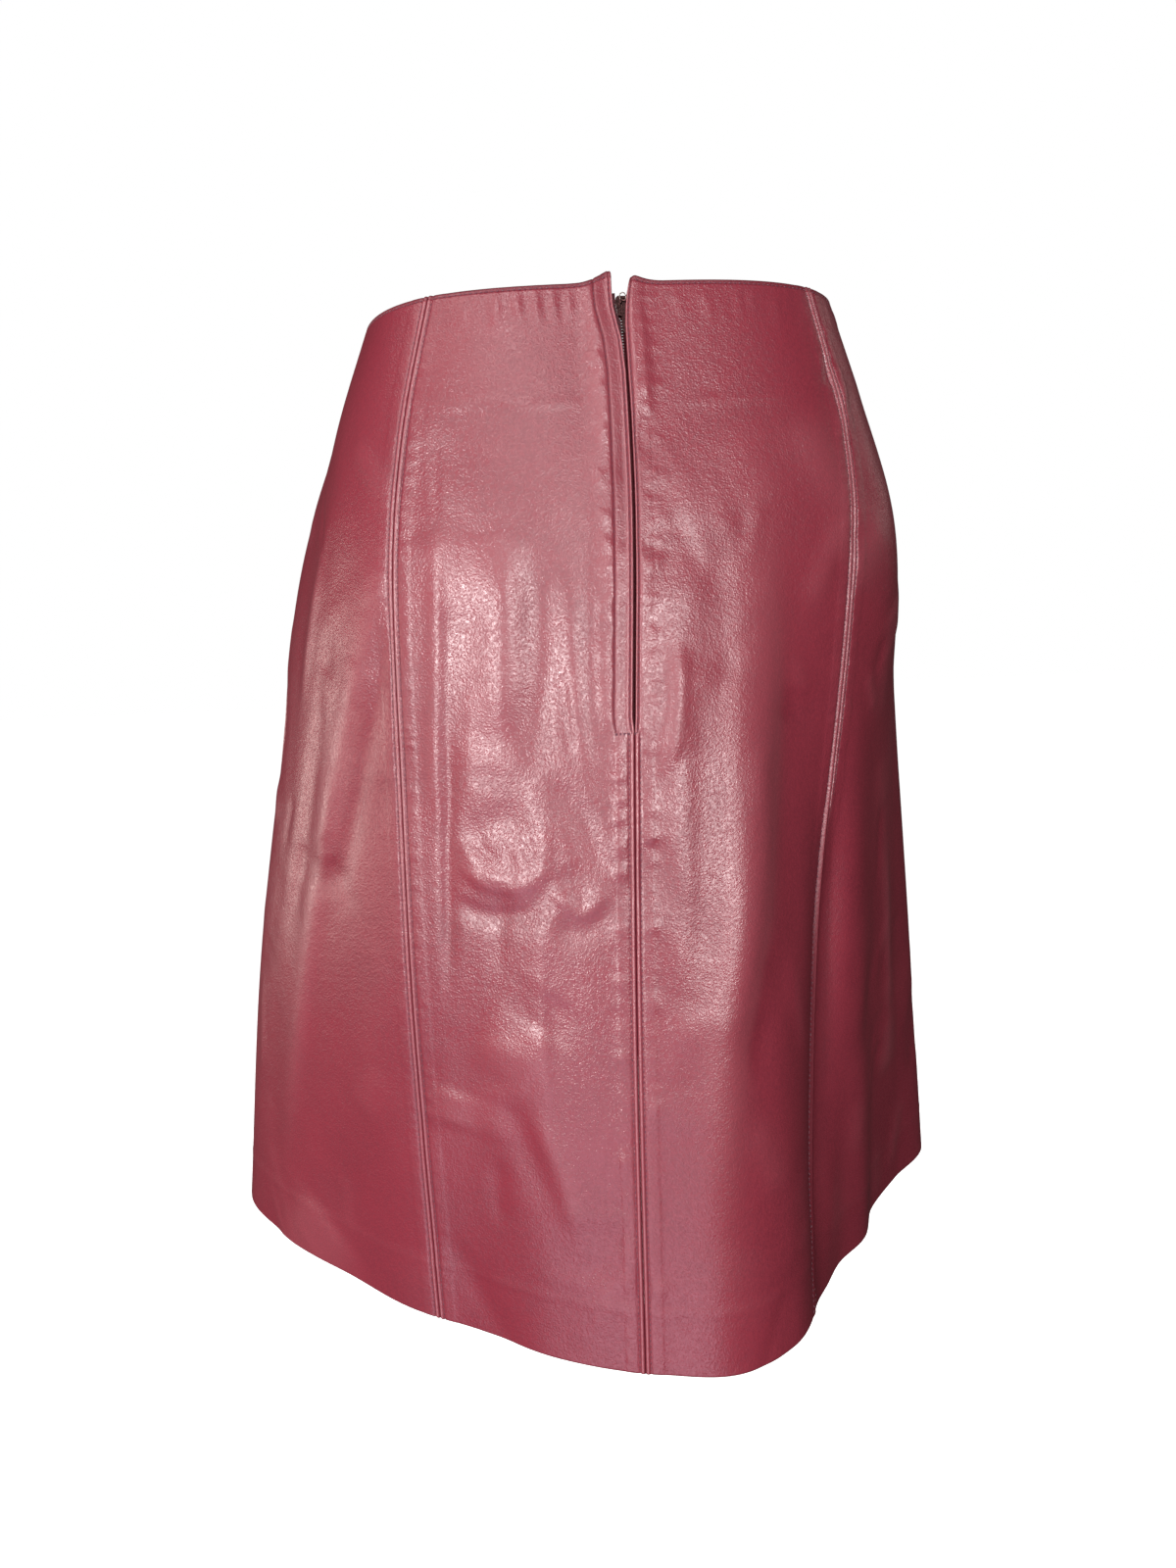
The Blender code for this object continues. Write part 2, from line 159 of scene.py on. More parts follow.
def form_radius(angle, level):
    turn = np.radians(angle)
    width, back, front, square = (
        curve_through(SECTIONS, "level", name, level) for name in ("width", "back", "front", "square")
    )
    behind = np.cos(turn) > 0
    square = np.where(behind, square, FRONT_SQUARE)
    across = np.abs(np.sin(turn)) / width
    along = np.abs(np.cos(turn)) / np.where(behind, back, front)
    radius = (across**square + along**square) ** (-1 / square)
    fold_angle = (angle - FOLDS[0]["angle"]) % 360 + FOLDS[0]["angle"]
    hem = curve_through(FOLD_RING, "angle", "hem", fold_angle)
    hip = curve_through(FOLD_RING, "angle", "hip", fold_angle)
    swell = np.exp(-(((level - HIP_LEVEL) / HIP_REACH) ** 2))
    return radius + fold_growth(level) * hem + swell * hip


def form_points(angle, level):
    """The form's points, as an array with a last axis of 3."""
    turn = np.radians(angle)
    from_back = np.radians((angle + 180) % 360 - 180)
    radius = form_radius(angle, level)
    shift = curve_through(SECTIONS, "level", "shift", level)
    tilt = WAIST_TILT * np.sin(turn) * (1 - level) ** 2
    dip = HEM_DIP * np.maximum(np.cos(from_back / DIP_REACH), 0.0) ** 4 * level**3
    height = tilt - LENGTH * level - dip
    return np.stack([radius * np.sin(turn) + shift, -radius * np.cos(turn), height], axis=-1)


def outward(angle, level):
    """The form's unit direction out of the cloth."""
    low = np.clip(level, PROBE, 1 - PROBE)
    step = math.degrees(PROBE)
    along = form_points(angle + step, low) - form_points(angle - step, low)
    down = form_points(angle, low + PROBE) - form_points(angle, low - PROBE)
    normal = np.cross(down, along)
    return normal / np.linalg.norm(normal, axis=-1, keepdims=True)


# A table of the distance round the form, from which places on the cloth are read.
TABLE_LEVELS = np.linspace(0, 1, 161)
TABLE_ANGLES = np.arange(-100.0, 280.1, 0.5)


def distance_table():
    points = form_points(*np.meshgrid(TABLE_ANGLES, TABLE_LEVELS))
    steps = np.linalg.norm(np.diff(points, axis=1), axis=-1)
    return np.concatenate([np.zeros((len(TABLE_LEVELS), 1)), np.cumsum(steps, axis=1)], axis=1)


DISTANCE = distance_table()


def around(angle, level):
    """The distance round the form, from the table's first angle."""
    angle, level = np.broadcast_arrays(np.asarray(angle, float), np.asarray(level, float))
    across = (angle - TABLE_ANGLES[0]) / (TABLE_ANGLES[1] - TABLE_ANGLES[0])
    down = np.clip(level, 0, 1) * (len(TABLE_LEVELS) - 1)
    j = np.clip(across.astype(int), 0, len(TABLE_ANGLES) - 2)
    i = np.clip(down.astype(int), 0, len(TABLE_LEVELS) - 2)
    u = across - j
    v = down - i
    upper = DISTANCE[i, j] * (1 - u) + DISTANCE[i, j + 1] * u
    lower = DISTANCE[i + 1, j] * (1 - u) + DISTANCE[i + 1, j + 1] * u
    return upper * (1 - v) + lower * v


def seam_angle(seam, level):
    level = np.asarray(level, float)
    sides = {"side_left": -SIDE_SEAM, "side_right": SIDE_SEAM, "front_end": 360 - SIDE_SEAM}
    if seam in sides:
        return np.full(level.shape, sides[seam])
    return curve_through(SEAMS, "level", seam, level)


def angle_beside(angle, level, distance):
    """The angle that lies a distance round the form from another, at each level."""
    angle = np.asarray(angle, float)
    level, distance = np.broadcast_arrays(np.asarray(level, float), distance)
    goal = around(angle, level) + distance
    found = angle + np.degrees(distance / form_radius(angle, level))
    for _ in range(4):
        degree = around(found + 0.5, level) - around(found - 0.5, level)
        found = found - (around(found, level) - goal) / degree
    return found


def from_centre(angle, level):
    """The run of a place: its distance round from the centre-back seam."""
    return around(angle, level) - around(seam_angle("centre", level), level)


def edge_angle(seam, level, side, zip_lip=False):
    """A panel's edge beside a seam: side is 1 for the edge to the right of it and -1 to the left."""
    level = np.asarray(level, float)
    clear = np.full(level.shape, SEAM_GAP / 2)
    if zip_lip:
        gaps = column(OPENING, "right" if side > 0 else "left")
        clear = np.interp(level * LENGTH, column(OPENING, "drop"), gaps)
    return angle_beside(seam_angle(seam, level), level, side * clear)


# ---------------------------------------------------------------- creases in the cloth

# Soft ridges (height above 0) and troughs (below 0): the points (run, drop) that each runs through
# in cm, its height in mm, and how far it reaches to either side in mm. The first reach is to the
# left of a path written downward, or below one written from left to right.
CREASES = table(
    "path height reach",
    # Down the left back panel, from the princess seam to the zip.
    (((-8.8, 10), (-8.8, 15.7), (-8.9, 18.3), (-9, 21.3), (-8.9, 25)), 1, (5, 2.6)),
    (((-8.5, 18.5), (-8.5, 22), (-8.6, 24), (-8.7, 27.5), (-8.8, 31.5)), -1.1, (2.6, 4.5)),
    (((-8.7, 5.6), (-8.8, 8), (-8.8, 10.8)), -0.35, (1.5, 2.5)),
    (((-5.8, 10.3), (-5.8, 13.2), (-5.8, 15.4), (-5.9, 17.5), (-6.1, 19.2), (-6.3, 20.8)), 2.6, (14, 8)),
    (((-4.3, 11.5), (-4.1, 14.2), (-4.1, 17), (-4.3, 19.7), (-4.4, 21.6)), -1.8, (8, 9)),
    (((-2.9, 12.6), (-2.8, 15.5), (-2.7, 17.2), (-2.5, 18.9), (-2.2, 20.6), (-2, 22.2)), 0.8, (5, 3.5)),
    (((-3.2, 16.7), (-3.1, 18), (-3, 19.3), (-2.7, 20.8)), -0.5, (2.5, 2.5)),
    (((-2, 13), (-1.9, 17), (-1.6, 20.3)), -0.5, (3, 3)),
    (((-8.4, 10.7), (-6.4, 10.8), (-4.4, 10.9)), -0.4, (4, 6)),
    # Across it below the zip: a soft crest, a hollow, the knuckle and the dark band under it.
    (((-8.4, 20.6), (-6.9, 20.6), (-5.6, 20.7), (-4.5, 21.4)), 0.6, (8, 8)),
    (((-8.4, 23.9), (-7, 23.7), (-5.6, 23.4), (-4.3, 23.4)), -1, (7, 9)),
    (((-8.1, 24.9), (-7.5, 25.6), (-6.8, 26.1), (-5.7, 26.3), (-4.6, 26), (-4, 25.3)), 1.4, (3.6, 9)),
    (((-7.9, 24.3), (-7.6, 24.9), (-7.1, 25.4)), 0.5, (2.2, 2.6)),
    (((-6.9, 25.5), (-6.3, 25.9), (-5.6, 25.9)), 0.5, (2, 2.6)),
    (((-7.2, 24.2), (-6.6, 24.9), (-6, 25.1)), -0.5, (2.2, 2.2)),
    (((-5.4, 24.4), (-5, 25.2), (-4.5, 25.6)), 0.5, (2.4, 2)),
    (((-8.6, 26.6), (-7.5, 27.3), (-6.1, 27.5), (-4.7, 27.2), (-4, 26.4)), -0.9, (6, 3.5)),
    (((-4, 23.3), (-4, 24.7), (-4.1, 26.2)), 0.6, (5, 2.5)),
    # The slanting crease beside it and the V below that.
    (((-3.8, 21.2), (-2.9, 22.4), (-2.2, 23.4), (-1.8, 24.7), (-1.1, 25.9)), -1.1, (8, 4.5)),
    (((-4, 26), (-3.3, 26.7), (-2.8, 27.2), (-2.4, 27.4), (-2, 27.2), (-1.5, 26.7), (-0.9, 26.1)), 1,
     (2.8, 5)),
    (((-3.8, 27.7), (-2.7, 28.2), (-1.8, 27.9), (-1, 27.2)), -0.6, (5, 3)),
    # Lower on the left back panel.
    (((-7.6, 32.6), (-6.2, 33.2), (-4.8, 33.6), (-3.9, 34)), 1, (10, 14)),
    (((-4.3, 28.6), (-4.2, 32), (-4.1, 36.5)), 0.8, (7, 3)),
    (((-7.2, 34), (-5.4, 37), (-3.6, 41)), -0.8, (8, 8)),
    (((-5.2, 35), (-3.6, 38.4), (-2.4, 42.5)), 0.7, (7, 6)),
    # The puffed oval to the right of the zip's end and the valley beside it.
    (((1.8, 15.5), (2, 17), (2, 18.3), (1.9, 19.5), (1.7, 20.5), (1.3, 21.2), (0.4, 21.5)), 1, (5, 3.2)),
    (((1.2, 16.6), (1.4, 18.2), (1.3, 19.5), (1, 20.3)), -0.5, (3, 3)),
    (((2.8, 15), (2.9, 19.5), (2.9, 24), (2.9, 28.5), (2.5, 32)), -0.9, (6, 8)),
    # Down the right back panel.
    (((4.6, 10.5), (4.8, 14.6), (4.9, 17.6), (4.9, 20.4), (4.9, 26), (4.7, 29.5), (4.2, 34)), 1.8, (9, 13)),
    # The two edges of the opening, drawn out toward the wearer's left and right.
    (((-1.2, 0.2), (-1.2, 4), (-1.1, 8)), 1.2, (4, 12)),
    (((0.6, 0.3), (0.7, 3), (0.8, 6.5)), 1, (14, 3)),
    # Where it turns away to the side.
    (((6.3, 9), (6.2, 13.8), (6.3, 18.1), (6, 23.2), (5.4, 27.7), (4.4, 31.6), (3.8, 36.3), (3.5, 42)), 2,
     (12, 10)),
    (((1.4, 33), (3.2, 32), (4.6, 33)), 0.7, (8, 8)),
    # The long ridge down the left side back panel, between two hollows.
    (((-11.6, 9), (-12.3, 13.5), (-13.6, 17.3), (-15.2, 22), (-16.8, 27), (-18.2, 32), (-20, 38),
      (-21.2, 42.5)), 1.5, (9, 7)),
    (((-11, 12), (-11.8, 17), (-13.4, 22), (-15.4, 28)), -1.1, (5, 7)),
    (((-14.6, 12), (-16.4, 18), (-18.2, 25), (-20.4, 32)), -1.1, (8, 8)),
    (((-15.6, 9), (-17.6, 14), (-19.2, 19)), 1.2, (6, 6)),
    # The right side back panel: a valley beside the seam, a dent near the waist, a long fold.
    (((11.4, 22), (11.5, 27), (11.4, 32), (11.2, 37), (11, 42), (10.8, 48)), -5.5, (13, 11)),
    (((10.4, 3), (10.2, 3.9), (10, 4.8)), -1, (4, 4)),
    (((11.4, 3.4), (11, 5.4), (10.6, 7.4)), 0.9, (4.5, 4.5)),
    (((18, 26), (19.4, 32), (20.6, 38)), 1.2, (7, 7)),
    # The edge of the turned-in waist, seen through the leather.
    (((-9.6, 5), (-7.5, 5.2), (-5.8, 5.15), (-4.5, 5.4), (-2.7, 5.35), (-1.2, 5.5)), 0.4, (1.6, 2.6)),
    (((1.2, 5.5), (5, 5.4), (8.6, 5.2)), 0.16, (1.4, 2.4)),
    # A fine scratch.
    (((-10, 30), (-9.3, 30.8)), -0.12, (0.5, 0.5)),
    # The hidden front: soft folds much like those behind.
    (((27, 14), (26.6, 20), (27.4, 27)), 1.2, (8, 8)),
    (((31.5, 12), (32.5, 18), (33, 25)), -1.3, (8, 8)),
    (((37, 15), (38.5, 21), (40.5, 28)), 1.4, (11, 7)),
    (((42, 22), (44.5, 24), (47, 23.2)), 1.5, (3.8, 7.5)),
    (((42.4, 24.4), (44.8, 26.2), (47.4, 25.4)), -1.2, (6, 4.5)),
    (((49, 13), (50.5, 19), (51.5, 26)), -1.2, (8, 8)),
    (((55, 12.5), (57, 19), (59.5, 27)), 1.3, (8, 10)),
    (((34, 30), (36, 36), (37, 42)), 0.9, (9, 9)),
    (((52, 31), (53, 37), (55.5, 43)), -0.9, (9, 9)),
)

# Small puffs that the stitching draws up: the middle of each as (run, drop) in cm, its height, and
# how far it reaches round and down, in mm.
PUFFS = table(
    "place height round down",
    # Left of the zip's outer row of stitches.
    ((-1.50, 0.9), 0.8, 3, 6), ((-1.50, 2), 0.7, 3.2, 3.4), ((-1.55, 3.4), 0.8, 3.6, 3.4),
    ((-1.50, 4.7), 0.6, 3.6, 3.2), ((-1.45, 6.7), 0.5, 3.4, 4.2), ((-1.50, 8.7), 0.6, 3.6, 3.4),
    ((-1.45, 10.3), 0.7, 3.6, 3.4), ((-1.40, 11.5), 0.7, 3.4, 3), ((-1.35, 12.6), 0.7, 3.4, 3.2),
    ((-1.30, 14.2), 0.6, 3.4, 4), ((-1.35, 16.3), 0.4, 3.2, 4.6), ((-1.35, 18.4), 0.4, 3, 4.4),
    # Both sides of the seam below it.
    ((-0.70, 20.6), 0.6, 3.4, 4.2), ((-0.65, 21.6), 0.7, 3.4, 3), ((-0.62, 22.5), 0.8, 3.2, 2.8),
    ((-0.70, 23.3), 0.7, 3.4, 2.6), ((-0.68, 24.5), 0.9, 3.2, 3), ((-0.66, 25.6), 0.5, 3, 3.2),
    ((-0.70, 28), 0.6, 3.4, 3.4), ((-0.66, 30.2), 0.4, 3.2, 4), ((-0.66, 33.3), 0.5, 3.4, 3.6),
    ((-0.64, 37.6), 0.4, 3.2, 4), ((-0.66, 42.6), 0.6, 4, 4.6), ((0.75, 22.2), 0.4, 3.2, 3),
    ((0.80, 23.1), 0.4, 3.2, 2.6), ((0.75, 24.2), 0.6, 3.4, 3), ((0.80, 25.2), 0.6, 3.4, 3),
    ((0.80, 28), 0.5, 3.4, 3.4), ((0.75, 31), 0.5, 3.4, 4), ((0.80, 35.4), 0.4, 3.4, 3.6),
    ((0.85, 42.8), 0.5, 4, 4),
    # Upright ones below the waist.
    ((-7.2, 1), 0.3, 2.4, 6), ((-5.7, 1.1), 0.7, 2.6, 6.5), ((-4.75, 1), 0.7, 2.3, 6),
    ((-3.9, 1.1), 0.8, 2.2, 7), ((-3.15, 1), 0.7, 2, 6.5), ((-2.45, 1.1), 0.6, 1.9, 6),
)
CREASE_SAMPLES = 28
TAPER_SHARE = 0.3
END_HEIGHT = 0.12
# A stroke is left out beyond this many times its reach, where it has faded to almost nothing.
STROKE_MARGIN = 2.6
# Creases are lower right at a seam, where two layers are sewn together.
QUIET_REACH = 3 * MM
QUIET_SHARE = 0.25

# Rows of short puckers that stitching draws up: the line that they start from, to which side, the
# drops of the first and the last, the spacing, all in m, then length, height and breadth in mm.
PUCKER_ROWS = (
    ("lap", -1, 0.02, 0.19, 0.009, 5, -0.3, 1.6),
    ("centre", 1, 0.008, 0.19, 0.0055, 8, 0.3, 1.3),
    ("centre", 1, 0.03, 0.19, 0.014, 11, 0.35, 2.6),
    ("centre", -1, 0.205, 0.46, 0.0075, 7, 0.2, 1.5),
    ("centre", 1, 0.205, 0.46, 0.0075, 7, 0.2, 1.5),
    ("left", -1, 0.02, 0.45, 0.0055, 7, 0.22, 1.3),
    ("left", 1, 0.02, 0.45, 0.0055, 7, 0.22, 1.3),
    ("right", -1, 0.02, 0.45, 0.0055, 7, 0.22, 1.3),
    ("right", 1, 0.02, 0.45, 0.0055, 7, 0.22, 1.3),
    ("right", 1, 0.02, 0.06, 0.008, 10, 0.5, 2.4),
    ("side_right", -1, 0.02, 0.45, 0.011, 7, 0.3, 2.0),
    ("side_right", 1, 0.02, 0.45, 0.011, 7, 0.3, 2.0),
)
# Each pucker's size and place are drawn from these shares of its row's.
SPACINGS = (0.6, 1.5)
LENGTHS = (0.6, 1.3)
HEIGHTS = (0.4, 1.3)
BREADTHS = (0.7, 1.3)
SLANTS = (-0.25, 0.25)
# How far a pucker starts from its line in mm, and where the centre's line is on each side of it.
STARTS = (0.5, 2.0)
CENTRE_LINE = 3 * MM
# Its middle has risen by this share of its slant.
MIDDLE_RISE = 0.4
# Upright puckers under the waist: the runs of the first and the last, the spacing, height in mm.
WAIST_PUCKERS = ((-0.095, -0.06, 0.012, 0.2), (0.012, 0.09, 0.012, 0.22), (0.11, 0.62, 0.016, 0.25))
WAIST_PUCKER_TOP = 0.004
WAIST_PUCKER_REACH = 2.2 * MM
WAIST_LENGTHS = (9, 20)
WAIST_LEANS = (-3, 3)
WAIST_HEIGHTS = (0.5, 1.3)
PUCKER_SAMPLES = 7
# Faint unevenness, as in any hide: how many strokes, their height, least and greatest reach in mm.
UNEVENNESS = ((260, 0.7, 4, 10), (110, 1.3, 10, 20))
UNEVEN_RUNS = (-0.24, 0.72)
UNEVEN_DROPS = (0.03, 0.44)
UNEVEN_LEANS = (-0.8, 0.8)
UNEVEN_LENGTHS = (0.02, 0.06)
UNEVEN_SAMPLES = 6
SEED = 7


def smooth_path(points, count):
    """Evenly many points on a smooth curve through the given ones."""
    points = np.asarray(points, float)
    keys = np.r_[0, np.cumsum(np.linalg.norm(np.diff(points, axis=0), axis=1))]
    rows = table("key run drop", *np.column_stack([keys, points]))
    at = np.linspace(0, keys[-1], count)
    return np.stack([curve_through(rows, "key", name, at) for name in ("run", "drop")], axis=-1)


def add_stroke(height, run, drop, path, high, reach):
    """Adds one ridge or trough along a path of (run, drop) to the heights, tapered at its ends."""
    margin = STROKE_MARGIN * max(reach)
    low = path.min(axis=0) - margin
    top = path.max(axis=0) + margin
    near = (run > low[0]) & (run < top[0]) & (drop > low[1]) & (drop < top[1])
    if not near.any():
        return
    place = np.stack([run[near], drop[near]], axis=-1)
    best = np.full(len(place), np.inf)
    share = np.zeros(len(place))
    first = np.zeros(len(place), bool)
    last = len(path) - 1
    for i in range(last):
        along = path[i + 1] - path[i]
        off = place - path[i]
        t = np.clip(off @ along / (along @ along), 0, 1)
        away = np.linalg.norm(off - t[:, None] * along, axis=1)
        closer = away < best
        best[closer] = away[closer]
        share[closer] = (i + t[closer]) / last
        first[closer] = (along[0] * off[:, 1] - along[1] * off[:, 0])[closer] > 0
    wide = np.where(first, reach[0], reach[1])
    ends = np.clip(np.minimum(share, 1 - share) / TAPER_SHARE, 0, 1)
    taper = ends * ends * (3 - 2 * ends)
    height[near] += high * np.exp(-((best / wide) ** 2)) * (END_HEIGHT + (1 - END_HEIGHT) * taper)


def line_run(line, side, drop):
    """The run, at a drop, of the line that a row of puckers starts from."""
    if line == "lap":
        return -float(np.interp(drop, column(OPENING, "drop"), column(OPENING, "left"))) - LAP_ROW
    if line == "centre":
        return side * CENTRE_LINE
    level = drop / LENGTH
    return float(from_centre(seam_angle(line, level), level))


def pucker_strokes():
    """Short creases and faint unevenness, a little different each: a list of (path, height, reach)."""
    draw = np.random.default_rng(SEED)
    made = []

    def add(path, samples, high, wide):
        made.append((smooth_path(path, samples), high, (wide, wide)))

    def spaced(start, end, step):
        places = []
        while start < end:
            places.append(start)
            start += step * draw.uniform(*SPACINGS)
        return places

    for line, side, first, last, step, length, high, wide in PUCKER_ROWS:
        for drop in spaced(first, last, step):
            reach = length * MM * draw.uniform(*LENGTHS)
            start = line_run(line, side, drop) + side * draw.uniform(*STARTS) * MM
            rise = reach * draw.uniform(*SLANTS)
            middle = (start + side * reach / 2, drop + rise * MIDDLE_RISE)
            path = [(start, drop), middle, (start + side * reach, drop + rise)]
            strength = high * MM * draw.uniform(*HEIGHTS)
            add(path, PUCKER_SAMPLES, strength, wide * MM * draw.uniform(*BREADTHS))
    for start, end, step, high in WAIST_PUCKERS:
        for run in spaced(start, end, step):
            length = draw.uniform(*WAIST_LENGTHS) * MM
            lean = draw.uniform(*WAIST_LEANS) * MM
            middle = (run + lean / 2, WAIST_PUCKER_TOP + length / 2)
            path = [(run, WAIST_PUCKER_TOP), middle, (run + lean, WAIST_PUCKER_TOP + length)]
            add(path, PUCKER_SAMPLES, high * MM * draw.uniform(*WAIST_HEIGHTS), WAIST_PUCKER_REACH)
    for count, high, narrow, broad in UNEVENNESS:
        for _ in range(count):
            run = draw.uniform(*UNEVEN_RUNS)
            drop = draw.uniform(*UNEVEN_DROPS)
            lean = draw.uniform(*UNEVEN_LEANS)
            length = draw.uniform(*UNEVEN_LENGTHS)
            path = [(run, drop), (run + lean * length, drop + length)]
            strength = draw.uniform(-high, high) * MM
            add(path, UNEVEN_SAMPLES, strength, draw.uniform(narrow, broad) * MM)
    return made


# ---------------------------------------------------------------- seams and edges

SHELL = 1.0 * MM
# What a turning adds to the thickness, and how soon it does so past its edge.
TURNING = 0.7 * MM
TURNING_STEP = 0.6 * MM
HEM_TURN = 26 * MM
WAIST_TURN = 12 * MM
# A cut edge is rounded over this share of its thickness, and flat in the middle.
RIM_SHARE = 0.92
# Rows of stitches, by their distance from the edge that they run along.
PRINCESS_ROW = 2.5 * MM
CENTRE_ROW = 2.4 * MM
LAP_ROW = 8.3 * MM
LAP_EDGE_ROW = 1.5 * MM
LIP_ROW = 1.2 * MM
WAIST_ROW = 1.7 * MM
# Where the layers under a seam end, how softly, and how much they lift the leather above them.
SEAM_ALLOWANCE = 8.5 * MM
ALLOWANCE_SOFTNESS = 1.4 * MM
PRINCESS_ALLOWANCE = 0.04 * MM
CENTRE_ALLOWANCE = 0.16 * MM
# Over what drop the zip's opening passes into the seam, beyond the outer row and before it.
LAP_FADE = 14 * MM
LIP_FADE = 3 * MM
WAIST_DENT = 0.4 * MM
WAIST_DENT_REACH = 0.5 * MM
HEM_RIDGE = 0.22 * MM
HEM_RIDGE_REACH = 1.5 * MM
# The foot of the right princess seam lies in a deep fold: its relief, its painted shade and its lightening
# by wear and painted highlight change between these drops, and shade is painted over the fold round this
# run, with less gloss.
RELIEF_FADE = ((0.24, 0.32), (1.0, 0.1))
WEAR_AND_HIGHLIGHT_FADE = ((0.22, 0.30), (0.8, 0.0))
DEEP_FOLD_SHADE_RISE = ((0.22, 0.31), (0.0, 1.0))
DEEP_FROM = 0.24
# Profiles beside an edge, as (distance, rise) in mm: a seam sewn open and topstitched, the zip's
# lap back past its outer row, and the zip's right lip.
SEAM_PROFILE = (
    (0.0, -0.25), (0.35, 0.1), (0.8, 0.44), (1.3, 0.48), (1.8, 0.26), (2.2, -0.1), (2.5, -0.36),
    (2.9, -0.02), (3.6, 0.12), (6.0, 0.12), (8.0, 0.1), (9.2, 0.0), (14.0, 0.0),
)
LAP_PROFILE = (
    (0.0, 0.2), (0.5, 0.65), (0.9, 0.5), (1.2, 0.15), (1.5, -0.1), (1.8, 0.1), (2.2, 0.3), (2.9, 0.0),
    (4.0, 0.05), (7.4, 0.5), (8.0, 0.3), (8.3, -0.25), (8.7, 0.15), (10.0, 0.5), (13.0, 0.5), (20.0, 0.0),
)
LIP_PROFILE = (
    (0.0, 0.2), (0.4, 0.5), (0.7, 0.35), (1.2, -0.15), (1.7, 0.25), (2.4, 0.45), (3.4, 0.4), (8.0, 0.0),
)
# Lines beside an edge, of painted shade or of lightening partly by wear and partly as painted highlight:
# their distance and reach in mm, and their strength.
# Painted shade in the fold of each seam, wider at the foot of the right princess seam, where its rounded
# edge would catch the light; and painted shade in the grooves of the rows of stitches.
SEAM_FOLD_SHADE = (0.0, 0.25, 0.6)
DEEP_SEAM_FOLD_SHADE = (0.0, 0.7, 1.0)
PRINCESS_ROW_SHADE = (2.5, 0.4, 0.2)
CENTRE_ROW_SHADE = (2.4, 0.4, 0.2)
# Painted shade in the grooves of the lap's two rows of stitches and over the band between them.
LAP_SHADES = ((1.5, 0.3, 0.5), (8.3, 0.5, 0.5), (5.0, 2.4, 0.08))
LIP_ROW_SHADE = (1.2, 0.4, 0.6)
# The waist edge and the hem edge are darkened partly as edge paint and partly as painted shade; the waist's
# second line is painted shade in the groove of its stitches.
WAIST_SHADES = ((0.0, 1.2, 1.0), (1.7, 0.5, 0.55))
HEM_EDGE_PAINT_AND_SHADE = (0.0, 0.5, 0.8)
# Painted shade over the deep fold beside the right princess seam, round this run.
DEEP_FOLD_SHADE = (104.0, 13.0, 0.55)
# Lighter lines on the raised folds and the zip's rolled edges: partly wear and partly painted highlight.
FOLD_WEAR_AND_HIGHLIGHT = (1.1, 0.45, 0.7)
LIP_WEAR_AND_HIGHLIGHT = (0.5, 0.4, 0.9)
LAP_WEAR_AND_HIGHLIGHT = (2.2, 0.4, 0.7)
# Raised leather is a little lighter, up to this much, by its height.
LIGHTEN_HEIGHT = 5 * MM
LIGHTEN_MOST = 0.25
# How far the columns and rows nearest an edge are from it, in mm: at a seam, and at the zip.
EDGE_OFFSETS = (
    0, 0.12, 0.3, 0.5, 0.75, 1.0, 1.3, 1.6, 1.9, 2.2, 2.4, 2.6, 2.9, 3.4, 4.2, 5.4, 6.8, 7.6, 8.2, 8.8, 9.4,
)
LAP_OFFSETS = (
    0, 0.12, 0.3, 0.5, 0.7, 0.9, 1.1, 1.3, 1.5, 1.7, 1.9, 2.2, 2.6, 3.0, 4.0, 5.4, 6.6, 7.3, 7.7, 8.0, 8.2,
    8.4, 8.6, 8.8, 9.2, 9.8, 10.8, 12.0,
)
# The rows are close together about the zip's end.
ZIP_ROWS = np.arange(ZIP_END - 4 * MM, ZIP_END + 4 * MM, 0.8 * MM)


def bell(away, at, wide):
    return np.exp(-(((away - at) / wide) ** 2))


def lines(away, *rows):
    """How strong the strongest of some lines is, by the distance from an edge."""
    return np.max([strength * bell(away, at * MM, wide * MM) for at, wide, strength in rows], axis=0)


def profile(away, places, stretch=1.0):
    """The height on a smooth curve through a profile, held beyond its last place."""
    rows = table("away rise", *[(at * MM * stretch, rise * MM) for at, rise in places])
    return curve_through(rows, "away", "rise", np.clip(away, 0, rows[-1]["away"]))


def topstitched(away, row, allowance):
    """The relief beside a seam, whose row of stitches is this far from it."""
    layers = (1 - np.tanh((away - SEAM_ALLOWANCE) / ALLOWANCE_SOFTNESS)) / 2
    return profile(away, SEAM_PROFILE, row / PRINCESS_ROW) + allowance * layers


def rounded(away, radius):
    """How far a rounded edge falls in, by the distance from it."""
    share = np.clip(1 - away / radius, 0, 1)
    return radius * (1 - np.sqrt(1 - share * share))


